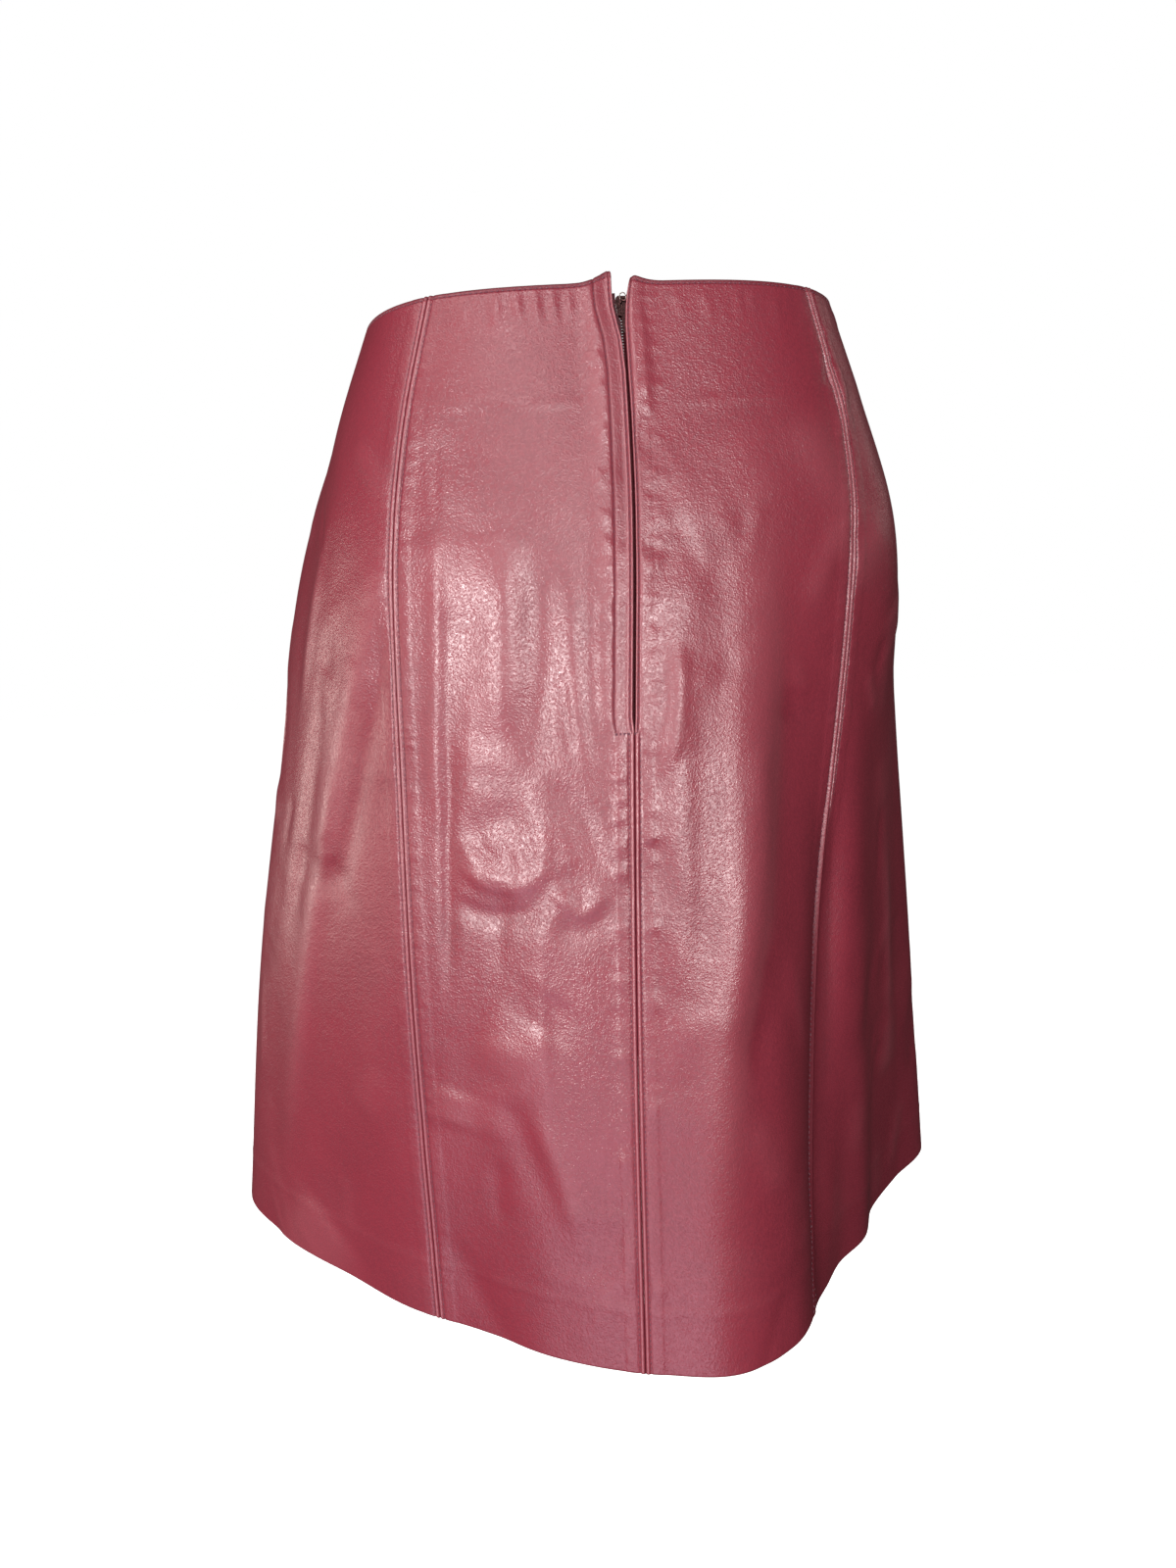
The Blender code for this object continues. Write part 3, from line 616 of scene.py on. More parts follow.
class Panel:
    """One leather panel between two seams, its start on the left as seen from outside."""

    def __init__(self, name, start, end, column_step, row_step, lip=None):
        self.name = name
        self.start = start
        self.end = end
        self.column_step = column_step
        self.row_step = row_step
        self.lip = lip

    def in_fold(self, edge):
        """Whether an edge lies along the right princess seam, whose foot is in a deep fold."""
        return (self.start if edge == "start" else self.end) == "right"

    def edges(self, level):
        first = edge_angle(self.start, level, 1, self.lip == "start")
        last = edge_angle(self.end, level, -1, self.lip == "end")
        return first, last

    def seam_relief(self, away, drop, edge):
        if self.lip != edge:
            relief = topstitched(away, PRINCESS_ROW, PRINCESS_ALLOWANCE)
            return relief * np.interp(drop, *RELIEF_FADE) if self.in_fold(edge) else relief
        closed = topstitched(away, CENTRE_ROW, CENTRE_ALLOWANCE)
        opened = profile(away, LAP_PROFILE if edge == "end" else LIP_PROFILE)
        fade = np.where(away > LAP_ROW, LAP_FADE, LIP_FADE)
        blend = np.clip((drop - ZIP_END + fade / 2) / fade, 0, 1)
        return opened * (1 - blend) + closed * blend

    def seam_shade(self, away, drop, edge):
        """How much shade is painted into the fold of a seam and the grooves of its rows of stitches, from 0
        to 1.
        """
        fold = lines(away, SEAM_FOLD_SHADE)
        if self.in_fold(edge):
            fold = np.where(drop > DEEP_FROM, lines(away, DEEP_SEAM_FOLD_SHADE), fold)
        if self.lip != edge:
            return np.maximum(fold, lines(away, PRINCESS_ROW_SHADE))
        closed = np.maximum(fold, lines(away, CENTRE_ROW_SHADE))
        opened = lines(away, *LAP_SHADES) if edge == "end" else lines(away, LIP_ROW_SHADE)
        return np.where(drop < ZIP_END, opened, closed)

    def seam_wear_and_painted_highlight(self, away, drop, edge):
        """How much lighter the raised folds beside a seam or the opening are, from 0 to 1: partly wear and
        partly painted highlight.
        """
        folds = lines(away, FOLD_WEAR_AND_HIGHLIGHT)
        if self.in_fold(edge):
            folds = folds * np.interp(drop, *WEAR_AND_HIGHLIGHT_FADE)
        if self.lip != edge:
            return folds
        opened = lines(away, LIP_WEAR_AND_HIGHLIGHT, LAP_WEAR_AND_HIGHLIGHT) if edge == "end" else lines(away, LIP_WEAR_AND_HIGHLIGHT)
        return np.where(drop < ZIP_END, opened, folds)

    def painted_shade_and_edge_paint(self, run, drop, from_first, from_last):
        """How much shade is painted on the whole panel, in its seams, stitch grooves, lap band and deep
        fold, with its waist and hem edges darkened partly as edge paint and partly as painted shade.
        """
        rows = (
            self.seam_shade(from_first, drop, "start"),
            self.seam_shade(from_last, drop, "end"),
            lines(drop, *WAIST_SHADES),
            lines(LENGTH - drop, HEM_EDGE_PAINT_AND_SHADE),
            lines(run, DEEP_FOLD_SHADE) * np.interp(drop, *DEEP_FOLD_SHADE_RISE),
        )
        return np.max(rows, axis=0)

    def relief(self, angle, level):
        """How far the leather stands out of the form, and its distances from both edges."""
        first, last = self.edges(level)
        at = around(angle, level)
        from_first = at - around(first, level)
        from_last = around(last, level) - at
        run = from_centre(angle, level)
        drop = level * LENGTH
        height = np.zeros(np.shape(run))
        for row in CREASES:
            path = smooth_path(np.array(row["path"]) * CM, CREASE_SAMPLES)
            add_stroke(height, run, drop, path, row["height"] * MM, np.array(row["reach"]) * MM)
        for path, high, reach in PUCKERS:
            add_stroke(height, run, drop, path, high, reach)
        for row in PUFFS:
            off_round = (run - row["place"][0] * CM) / (row["round"] * MM)
            off_down = (drop - row["place"][1] * CM) / (row["down"] * MM)
            height += row["height"] * MM * np.exp(-(off_round**2 + off_down**2))
        free = np.clip(np.minimum(from_first, from_last) / QUIET_REACH, 0, 1)
        height *= QUIET_SHARE + (1 - QUIET_SHARE) * free
        height += self.seam_relief(np.maximum(from_first, 0), drop, "start")
        height += self.seam_relief(np.maximum(from_last, 0), drop, "end")
        height -= WAIST_DENT * bell(drop, WAIST_ROW, WAIST_DENT_REACH)
        height += HEM_RIDGE * bell(LENGTH - drop, HEM_TURN, HEM_RIDGE_REACH)
        return height, from_first, from_last

    def lift(self, from_lip, level):
        """How far the corner beside the zip stands up, and falls where it is rounded."""
        round_share = np.clip(1 - from_lip / CORNER_REACH, 0, 1)
        down_share = np.clip(1 - level * LENGTH / CORNER_DROP, 0, 1)
        fall = rounded(from_lip, CORNER_RADIUS) if self.lip else 0.0
        return CORNER_LIFTS[self.lip] * round_share**2 * down_share**2 - fall * down_share**3

    def surface(self, angle, level):
        """Points on the leather's face, its directions outward, and what relief gives."""
        height, from_first, from_last = self.relief(angle, level)
        normal = outward(angle, level)
        points = form_points(angle, level) + normal * height[..., None]
        from_lip = from_first if self.lip == "start" else from_last
        points[..., 2] += self.lift(from_lip, level)
        return points, normal, height, from_first, from_last

    def grid(self):
        """The angles and levels of the panel's rows and columns."""
        near = np.array(EDGE_OFFSETS) * MM
        middle = np.arange(near[-1] + self.row_step, LENGTH - near[-1] - self.row_step / 2, self.row_step)
        drops = np.unique(np.r_[near, middle, ZIP_ROWS if self.lip else [], LENGTH - near])
        levels = drops / LENGTH
        start, end = (around(edge, levels) for edge in self.edges(levels))
        from_start, from_end = (
            np.array(LAP_OFFSETS if self.lip == edge else EDGE_OFFSETS) * MM for edge in ("start", "end")
        )
        inner_start = start + from_start[-1]
        inner_end = end - from_end[-1]
        count = int(np.ceil(np.max(inner_end - inner_start) / self.column_step))
        share = np.linspace(0, 1, count + 1)[1:-1]
        goals = np.concatenate(
            [
                start[:, None] + from_start[None, :],
                inner_start[:, None] + (inner_end - inner_start)[:, None] * share[None, :],
                end[:, None] - from_end[None, ::-1],
            ],
            axis=1,
        )
        angles = np.empty_like(goals)
        for i, level in enumerate(levels):
            angles[i] = np.interp(goals[i], around(TABLE_ANGLES, level), TABLE_ANGLES)
        return angles, np.repeat(levels[:, None], goals.shape[1], axis=1)


PUCKERS = pucker_strokes()


# ---------------------------------------------------------------- meshes

def linked(name, mesh):
    made = bpy.data.objects.new(name, mesh)
    bpy.context.scene.collection.objects.link(made)
    return made


def mesh_from(name, points, quads, smooth=True):
    mesh = bpy.data.meshes.new(name)
    mesh.vertices.add(len(points))
    mesh.vertices.foreach_set("co", np.asarray(points, np.float32).ravel())
    mesh.loops.add(quads.size)
    mesh.loops.foreach_set("vertex_index", quads.astype(np.int32).ravel())
    mesh.polygons.add(len(quads))
    mesh.polygons.foreach_set("loop_start", np.arange(0, quads.size, quads.shape[1], dtype=np.int32))
    mesh.polygons.foreach_set("use_smooth", np.full(len(quads), smooth))
    mesh.update(calc_edges=True)
    mesh.validate()
    return linked(name, mesh)


def build_wall(name, outer, inner):
    """A closed wall between an outer and an inner grid of points."""
    rows, columns = outer.shape[:2]
    index = np.arange(rows * columns).reshape(rows, columns)
    inside = index + rows * columns
    a, b = index[:-1, :-1], index[1:, :-1]
    c, d = index[1:, 1:], index[:-1, 1:]
    corners = (
        (a, b, c, d),
        (a + index.size, d + index.size, c + index.size, b + index.size),
        (index[0, :-1], index[0, 1:], inside[0, 1:], inside[0, :-1]),
        (index[-1, 1:], index[-1, :-1], inside[-1, :-1], inside[-1, 1:]),
        (index[1:, 0], index[:-1, 0], inside[:-1, 0], inside[1:, 0]),
        (index[:-1, -1], index[1:, -1], inside[1:, -1], inside[:-1, -1]),
    )
    quads = np.concatenate([np.stack(sides, axis=-1).reshape(-1, 4) for sides in corners])
    return mesh_from(name, np.concatenate([outer.reshape(-1, 3), inner.reshape(-1, 3)]), quads)


def set_values(obj, name, *values):
    layer = obj.data.attributes.new(name, "FLOAT", "POINT")
    layer.data.foreach_set("value", np.concatenate([part.ravel() for part in values]).astype(np.float32))


def build_panel(panel):
    angles, levels = panel.grid()
    points, normal, height, from_first, from_last = panel.surface(angles, levels)
    drop = levels * LENGTH
    from_hem = LENGTH - drop
    thick = SHELL + TURNING * np.clip((HEM_TURN - from_hem) / TURNING_STEP, 0, 1)
    thick += TURNING * np.clip((WAIST_TURN - drop) / TURNING_STEP, 0, 1)
    ends = rounded(np.minimum(drop, from_hem), thick / 2)
    sides = rounded(np.minimum(from_first, from_last), SHELL / 2)
    fall = RIM_SHARE * np.maximum(ends, sides)
    outer = points - normal * fall[..., None]
    inner = points - normal * (thick - fall)[..., None]
    made = build_wall(panel.name + "_leather", outer, inner)
    # Lighter folds and edges, partly wear and partly painted highlight.
    wear_and_painted_highlight = np.maximum(panel.seam_wear_and_painted_highlight(from_first, drop, "start"), panel.seam_wear_and_painted_highlight(from_last, drop, "end"))
    wear_and_painted_highlight = np.clip(wear_and_painted_highlight + np.clip(height / LIGHTEN_HEIGHT, 0, LIGHTEN_MOST), 0, 1)
    run = from_centre(angles, levels)
    # Painted shade in the seams, stitch grooves, lap band and deep fold, and on the waist and hem edges
    # together with edge paint.
    painted_shade_and_edge_paint = panel.painted_shade_and_edge_paint(run, drop, np.maximum(from_first, 0), np.maximum(from_last, 0))
    nowhere = np.zeros(drop.shape)
    set_values(made, "wear_and_painted_highlight", wear_and_painted_highlight, wear_and_painted_highlight)
    set_values(made, "flesh", nowhere, np.where((from_hem < HEM_TURN) | (drop < WAIST_TURN), 0, 1))
    set_values(made, "painted_shade_and_edge_paint", painted_shade_and_edge_paint, nowhere)
    return made


# A stitch's rings: how far along it each is, its rise and its size, and how flat the thread is.
STITCH_ARCH = ((-0.5, -0.9, 0.55), (-0.3, 0.25, 1.0), (0.0, 0.45, 1.0), (0.3, 0.25, 1.0), (0.5, -0.9, 0.55))
STITCH_SIDES = 6
STITCH_FLATNESS = 0.8


def along_row(at, run, values):
    return np.stack([np.interp(at, run, values[:, axis]) for axis in range(3)], axis=-1)


def unit(vectors):
    return vectors / np.linalg.norm(vectors, axis=1, keepdims=True)


def stitch_row(points, normal, pitch, long, radius):
    """Threads along a row of points: arrays of vertices and quads, one short arch for each stitch."""
    run = np.r_[0, np.cumsum(np.linalg.norm(np.diff(points, axis=0), axis=1))]
    count = max(int(run[-1] / pitch), 1)
    centres = (np.arange(count) + 0.5) * run[-1] / count
    turns = np.arange(STITCH_SIDES) * 2 * math.pi / STITCH_SIDES
    rings = []
    for along, rise, size in STITCH_ARCH:
        at = np.clip(centres + along * long, 0, run[-1])
        out = along_row(at, run, normal)
        tangent = unit(along_row(at + MM, run, points) - along_row(at - MM, run, points))
        side = unit(np.cross(out, tangent))
        centre = along_row(at, run, points) + out * rise * radius
        rings.append(
            centre[:, None, :]
            + side[:, None, :] * np.cos(turns)[None, :, None] * radius * size
            + out[:, None, :] * np.sin(turns)[None, :, None] * radius * size * STITCH_FLATNESS
        )
    vertices = np.stack(rings, axis=1)
    index = np.arange(vertices[..., 0].size).reshape(vertices.shape[:3])
    a = index[:, :-1, :]
    b = index[:, 1:, :]
    walls = np.stack([a, np.roll(a, -1, axis=2), np.roll(b, -1, axis=2), b], axis=-1).reshape(-1, 4)
    caps = []
    for loop in (index[:, 0, ::-1], index[:, -1]):
        caps.append(loop[:, [0, 1, 2, 3]])
        caps.append(loop[:, [0, 3, 4, 5]])
    return vertices.reshape(-1, 3), np.concatenate([walls, *caps])


def build_stitches(name, rows, pitch=2.4 * MM, long=1.6 * MM, radius=0.3 * MM):
    """One joined mesh of the stitches along several rows of (points, directions outward)."""
    vertices = []
    quads = []
    count = 0
    for points, normal in rows:
        made, faces = stitch_row(points, normal, pitch, long, radius)
        vertices.append(made)
        quads.append(faces + count)
        count += len(made)
    return mesh_from(name, np.concatenate(vertices), np.concatenate(quads))


ROW_SAMPLES = 500


def row_beside(panel, edge, away, start, end):
    """A row of stitches along one edge of a panel, this far in from it, between two drops."""
    level = np.linspace(start, end, ROW_SAMPLES) / LENGTH
    first, last = panel.edges(level)
    angle = angle_beside(first, level, away) if edge == "start" else angle_beside(last, level, -away)
    return panel.surface(angle, level)[:2]


def row_round(panel, drop, margin):
    """A row of stitches round one panel at a drop below the waist."""
    level = np.full(ROW_SAMPLES, drop / LENGTH)
    first, last = panel.edges(level)
    low = angle_beside(first, level, margin)[0]
    high = angle_beside(last, level, -margin)[0]
    return panel.surface(np.linspace(low, high, ROW_SAMPLES), level)[:2]


# ---------------------------------------------------------------- materials

class Look:
    """A material, with short ways to add the nodes that its shader reads."""

    def __init__(self, name):
        self.material = bpy.data.materials.new(name)
        self.material.use_nodes = True
        self.nodes = self.material.node_tree.nodes
        self.links = self.material.node_tree.links
        self.place = self.node("ShaderNodeTexCoord").outputs["Object"]

    def plug(self, node, inputs):
        """Sets a node's inputs, each from a number, a colour or another node's output."""
        for key, value in inputs.items():
            socket = node.inputs[key]
            if isinstance(value, bpy.types.NodeSocket):
                self.links.new(value, socket)
            elif socket.type == "RGBA":
                socket.default_value = (*value, 1.0)
            else:
                socket.default_value = value

    def node(self, kind, inputs=None, **settings):
        made = self.nodes.new(kind)
        for key, value in settings.items():
            setattr(made, key, value)
        self.plug(made, inputs or {})
        return made

    def shader(self, inputs):
        self.plug(self.nodes["Principled BSDF"], inputs)

    def layer(self, name):
        """One of the values that build_panel wrote on the leather."""
        return self.node("ShaderNodeAttribute", attribute_name=name).outputs["Fac"]

    def noise(self, scale, detail=4.0, roughness=0.55, output="Fac"):
        inputs = {"Scale": scale, "Detail": detail, "Roughness": roughness, "Vector": self.place}
        return self.node("ShaderNodeTexNoise", inputs).outputs[output]

    def mix(self, factor, first, second):
        inputs = {"Factor": factor, "A": first, "B": second}
        return self.node("ShaderNodeMix", inputs, data_type="RGBA").outputs["Result"]

    def remap(self, value, low, high, to_low, to_high):
        inputs = {"Value": value, "From Min": low, "From Max": high, "To Min": to_low, "To Max": to_high}
        return self.node("ShaderNodeMapRange", inputs).outputs["Result"]

    def maths(self, operation, first, second):
        return self.node("ShaderNodeMath", {0: first, 1: second}, operation=operation).outputs["Value"]

    def bump(self, height, strength, distance, normal=None):
        inputs = {"Height": height, "Strength": strength, "Distance": distance}
        if normal is not None:
            inputs["Normal"] = normal
        return self.node("ShaderNodeBump", inputs).outputs["Normal"]


def leather_material():
    """Burgundy nappa: a pebbled grain face with a satin gloss, and a suede flesh side."""
    look = Look("burgundy_leather")
    patches = look.noise(38.0)
    speck = look.noise(700.0, 3.0, 0.6)
    wear_and_painted_highlight, flesh, painted_shade_and_edge_paint = (look.layer(name) for name in ("wear_and_painted_highlight", "flesh", "painted_shade_and_edge_paint"))
    # The colour: broad changes of depth, darker patches, lighter specks, then the folds lightened partly by
    # wear and partly as painted highlight, the painted shade in the seams, stitch grooves, lap band, deep
    # fold and edges, with edge paint at the waist and hem, and the flesh side.
    broad = look.remap(look.noise(9.0, 3.0), 0.35, 0.65, 0.0, 1.0)
    colour = look.mix(broad, (0.195, 0.020, 0.036), (0.226, 0.027, 0.044))
    colour = look.mix(look.remap(patches, 0.35, 0.7, 0.0, 0.5), colour, (0.155, 0.014, 0.028))
    colour = look.mix(look.remap(speck, 0.40, 0.64, 0.0, 0.6), colour, (0.255, 0.032, 0.048))
    # Folds and edges lightened partly by wear and partly as painted highlight.
    colour = look.mix(look.maths("MULTIPLY", wear_and_painted_highlight, 0.6), colour, (0.450, 0.160, 0.180))
    # Painted shade: the seams, stitch grooves, lap band and deep fold, and with edge paint the waist and hem
    # edges.
    colour = look.mix(painted_shade_and_edge_paint, colour, (0.085, 0.006, 0.012))
    colour = look.mix(flesh, colour, (0.290, 0.085, 0.080))
    # The gloss varies with the patches and specks, and is lost on the flesh side and where shade is painted.
    rough = look.remap(patches, 0.3, 0.7, 0.32, 0.38)
    rough = look.maths("ADD", rough, look.remap(speck, 0.38, 0.64, 0.05, -0.05))
    rough = look.maths("ADD", rough, look.maths("MULTIPLY", flesh, 0.5))
    rough = look.maths("ADD", rough, look.maths("MULTIPLY", painted_shade_and_edge_paint, 0.4))
    # Pebbles about 1 mm wide, made uneven by noise, over fine waves and soft unevenness.
    warped = {0: look.noise(420.0, 2.0, 0.5, "Color"), 1: (0.0016, 0.0016, 0.0016), 2: look.place}
    warp = look.node("ShaderNodeVectorMath", warped, operation="MULTIPLY_ADD")
    pebbles = {"Scale": 1050.0, "Smoothness": 0.35, "Vector": warp.outputs["Vector"]}
    cells = look.node("ShaderNodeTexVoronoi", pebbles, feature="SMOOTH_F1")
    grain = look.remap(cells.outputs["Distance"], 0.1, 0.6, 1.0, 0.0)
    soft = look.bump(look.noise(90.0, 3.0, 0.5), 1.0, 0.00022)
    waves = look.bump(look.noise(420.0, 3.0), 1.0, 0.00013, soft)
    look.shader({
        "Base Color": colour,
        "Roughness": rough,
        # Less specular where shade is painted, so that no highlight shows there.
        "Specular IOR Level": look.remap(painted_shade_and_edge_paint, 0.0, 1.0, 0.8, 0.1),
        "Normal": look.bump(grain, 1.0, 0.00007, waves),
    })
    return look.material


def thread_material():
    look = Look("burgundy_thread")
    fibres = look.noise(2500.0, 2.0)
    look.shader({
        "Base Color": look.mix(fibres, (0.085, 0.010, 0.024), (0.150, 0.025, 0.050)),
        "Roughness": 0.5,
        "Sheen Weight": 0.3,
        "Normal": look.bump(fibres, 0.4, 0.0001),
    })
    return look.material


def tape_material():
    look = Look("zip_tape_weave")
    weave = {"Scale": 320.0, "Distortion": 0.6, "Vector": look.place}
    rib = look.node("ShaderNodeTexWave", weave, bands_direction="DIAGONAL").outputs["Fac"]
    look.shader({
        "Base Color": look.mix(rib, (0.040, 0.005, 0.009), (0.105, 0.014, 0.023)),
        "Roughness": 0.8,
        "Sheen Weight": 0.2,
        "Normal": look.bump(rib, 0.5, 0.0002),
    })
    return look.material


def teeth_material():
    look = Look("zip_teeth_dark")
    grime = look.noise(700.0)
    look.shader({
        "Base Color": look.mix(grime, (0.060, 0.006, 0.010), (0.110, 0.014, 0.020)),
        "Roughness": look.remap(grime, 0.3, 0.7, 0.5, 0.7),
        "Specular IOR Level": 0.12,
    })
    return look.material


def metal_material(name, clean, grimy):
    look = Look(name)
    grime = look.noise(900.0, 5.0)
    look.shader({
        "Base Color": look.mix(look.remap(grime, 0.35, 0.7, 0.0, 1.0), clean, grimy),
        "Metallic": 1.0,
        "Roughness": look.remap(grime, 0.3, 0.7, 0.2, 0.4),
        "Normal": look.bump(grime, 0.2, 0.0001),
    })
    return look.material


LEATHER = leather_material()
THREAD = thread_material()
TAPE = tape_material()
TEETH = teeth_material()
METAL = metal_material("worn_nickel", (0.46, 0.40, 0.37), (0.24, 0.19, 0.17))
# Nickel painted dark and reddish as shade, for the slider body and the pull tab; the loop keeps the plain
# nickel.
NICKEL_WITH_PAINTED_SHADE = metal_material("nickel_painted_shade", (0.12, 0.06, 0.06), (0.05, 0.02, 0.02))


def finish_piece(obj, look, body="skirt"):
    obj.data.materials.append(look)
    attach(obj, body)
    return obj


# ---------------------------------------------------------------- the panels

PANELS = {
    panel.name: panel for panel in (
        Panel("side_back_left", "side_left", "left", 2.2 * MM, 2.0 * MM),
        Panel("back_left", "left", "centre", 1.6 * MM, 1.6 * MM, lip="end"),
        Panel("back_right", "centre", "right", 1.6 * MM, 1.6 * MM, lip="start"),
        Panel("side_back_right", "right", "side_right", 2.2 * MM, 2.0 * MM),
        Panel("front", "side_right", "front_end", 3.2 * MM, 3.0 * MM),
    )
}
# Each panel's leather shell, built in place of its CAD part.
for name, panel in PANELS.items():
    shell = finish_piece(build_panel(panel), LEATHER)
    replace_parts(shell, name)


# ---------------------------------------------------------------- the stitching

STITCH_TOP = 3 * MM
STITCH_END = LENGTH - 1.5 * MM
# The topstitching of the long seams: each row's panel, and the edge that it runs along.
SEAM_STITCHES = {
    "stitches_princess_left": (("side_back_left", "end"), ("back_left", "start")),
    "stitches_princess_right": (("back_right", "end"), ("side_back_right", "start")),
    "stitches_sides": (
        ("side_back_right", "end"), ("front", "start"), ("front", "end"), ("side_back_left", "start"),
    ),
}
# The cross row at the zip's end: its drop, where it starts and ends beside the seam, how far it
# stands out of the form, and how far apart its two threads are.
BAR_DROP = ZIP_END + 1 * MM
BAR_ENDS = (-LAP_ROW - 0.5 * MM, 1.5 * MM)
BAR_SAMPLES = 60
BAR_RISE = 0.3 * MM
BAR_GAP = 0.5 * MM


def add_stitching():
    left, right = PANELS["back_left"], PANELS["back_right"]
    rows = {
        "stitches_centre_back": [
            row_beside(left, "end", CENTRE_ROW, ZIP_END + 2 * MM, STITCH_END),
            row_beside(right, "start", CENTRE_ROW, ZIP_END + 2 * MM, STITCH_END),
        ],
        "stitches_zip": [
            row_beside(left, "end", LAP_ROW, STITCH_TOP, ZIP_END),
            row_beside(left, "end", LAP_EDGE_ROW, STITCH_TOP, ZIP_END),
            row_beside(right, "start", LIP_ROW, STITCH_TOP, ZIP_END),
        ],
    }
    for name, places in SEAM_STITCHES.items():
        rows[name] = [
            row_beside(PANELS[panel], edge, PRINCESS_ROW, STITCH_TOP, STITCH_END) for panel, edge in places
        ]
    rows["stitches_waist"] = [row_round(panel, WAIST_ROW, 2.5 * MM) for panel in PANELS.values()]
    for name, places in rows.items():
        finish_piece(build_stitches(name, places), THREAD)
    level = np.full(BAR_SAMPLES, BAR_DROP / LENGTH)
    angle = angle_beside(seam_angle("centre", level), level, np.linspace(*BAR_ENDS, BAR_SAMPLES))
    normal = outward(angle, level)
    points = form_points(angle, level) + normal * BAR_RISE
    bar_rows = [(points, normal), (points + [0, 0, BAR_GAP], normal)]
    bar = build_stitches("stitches_bar_tack", bar_rows, 1.6 * MM, 1.5 * MM)
    finish_piece(bar, THREAD)


add_stitching()


# ---------------------------------------------------------------- the zip

TAPE_TOP = 0.0045
TAPE_END = 0.2050
TAPE_WIDTH = 0.0135
TAPE_DEPTH = 0.0018
TAPE_THICK = 0.0007
TAPE_GAP = 0.0016
TAPE_GAP_AT_SLIDER = 0.0036
TAPE_ROWS = 170
TAPE_COLUMNS = 14
BEADING_RISE = 0.25 * MM
BEADING_REACH = 0.8 * MM
CHAIN_TOP = 0.0155
CHAIN_END = 0.1980
CHAIN_DEPTH = 0.0027
TOOTH_PITCH = 0.0013
TOOTH_OFFSET = 0.55 * MM
TOOTH_HALF = np.array([1.25, 0.27, 0.75]) * MM
BLOCK_QUADS = np.array([[0, 1, 3, 2], [4, 6, 7, 5], [0, 4, 5, 1], [2, 3, 7, 6], [0, 2, 6, 4], [1, 5, 7, 3]])
BLOCK_SIGNS = np.array([[i, j, k] for i in (-1, 1) for j in (-1, 1) for k in (-1, 1)], float)


def zip_place(across, drop, depth):
    """A point beside the line of the zip, this far inside the form, and the way out of it."""
    level = drop / LENGTH
    angle = angle_beside(seam_angle("centre", level), level, across)
    normal = outward(angle, level)
    return form_points(angle, level) - normal * np.asarray(depth)[..., None], normal


def build_tape(name, side):
    drops = np.linspace(TAPE_TOP, TAPE_END, TAPE_ROWS)
    narrowing = [TAPE_TOP, CHAIN_TOP - 3 * MM, CHAIN_TOP + 2 * MM]
    near = np.interp(drops, narrowing, [TAPE_GAP_AT_SLIDER, TAPE_GAP_AT_SLIDER, TAPE_GAP])[:, None]
    across = side * (near + (TAPE_WIDTH - near) * np.linspace(0, 1, TAPE_COLUMNS)[None, :])
    across = across[:, ::side]
    drop = np.repeat(drops[:, None], TAPE_COLUMNS, axis=1)
    beading = BEADING_RISE * bell(np.abs(across), near, BEADING_REACH)
    outer, normal = zip_place(across, drop, TAPE_DEPTH - beading)
    inner = outer - normal * (TAPE_THICK + 2 * beading)[..., None]
    return finish_piece(build_wall(name, outer, inner), TAPE)


def add_bevel(obj, width):
    bevel = obj.modifiers.new("rounding", "BEVEL")
    bevel.width = width
    bevel.segments = 2
    return bevel


def build_teeth():
    """Small interlocked teeth, left and right by turns, joined."""
    vertices = []
    quads = []
    count = int((CHAIN_END - CHAIN_TOP) / TOOTH_PITCH * 2)
    for i in range(count):
        drop = CHAIN_TOP + (i + 0.5) * TOOTH_PITCH / 2
        side = 1 if i % 2 else -1
        place, out = zip_place(np.array(side * TOOTH_OFFSET), np.array(drop), CHAIN_DEPTH)
        across = np.cross([0.0, 0.0, 1.0], out)
        across /= np.linalg.norm(across)
        axes = np.stack([across, np.cross(out, across), out])
        vertices.append(place + (BLOCK_SIGNS * TOOTH_HALF) @ axes)
        quads.append(BLOCK_QUADS + 8 * i)
    made = mesh_from("zip_teeth", np.concatenate(vertices), np.concatenate(quads), smooth=False)
    add_bevel(made, 0.12 * MM)
    return finish_piece(made, TEETH)


# The pin that the tab hangs on, and the slider's own axes: across, up and out.
PIN = np.array([0.0095, -0.10343, -0.00858])
PIN_AXES = np.array([[1.0, 0.0, 0.0], [0.0, 0.1777, 0.9841], [0.0, -0.9841, 0.1777]])


def pin_mesh(name, points, faces):
    """A mesh of points given as (across, up, out) in mm about the pin."""
    made = bpy.data.meshes.new(name)
    made.from_pydata((PIN + np.asarray(points, float) * MM @ PIN_AXES).tolist(), [], faces)
    return made


def prism(outline, back, front):
    """A plate between two depths, from its outline as (across, up) in mm about the pin."""
    count = len(outline)
    points = [(x, y, depth) for depth in (back, front) for x, y in outline]
    faces = [[i, (i + 1) % count, count + (i + 1) % count, count + i] for i in range(count)]
    faces.append([count + i for i in range(count)])
    faces.append([count - 1 - i for i in range(count)])
    return pin_mesh("plate", points, faces)


def block(left, right, low, high, back, front):
    """A box between two places across, up and out, in mm about the pin."""
    return prism([(left, low), (right, low), (right, high), (left, high)], back, front)


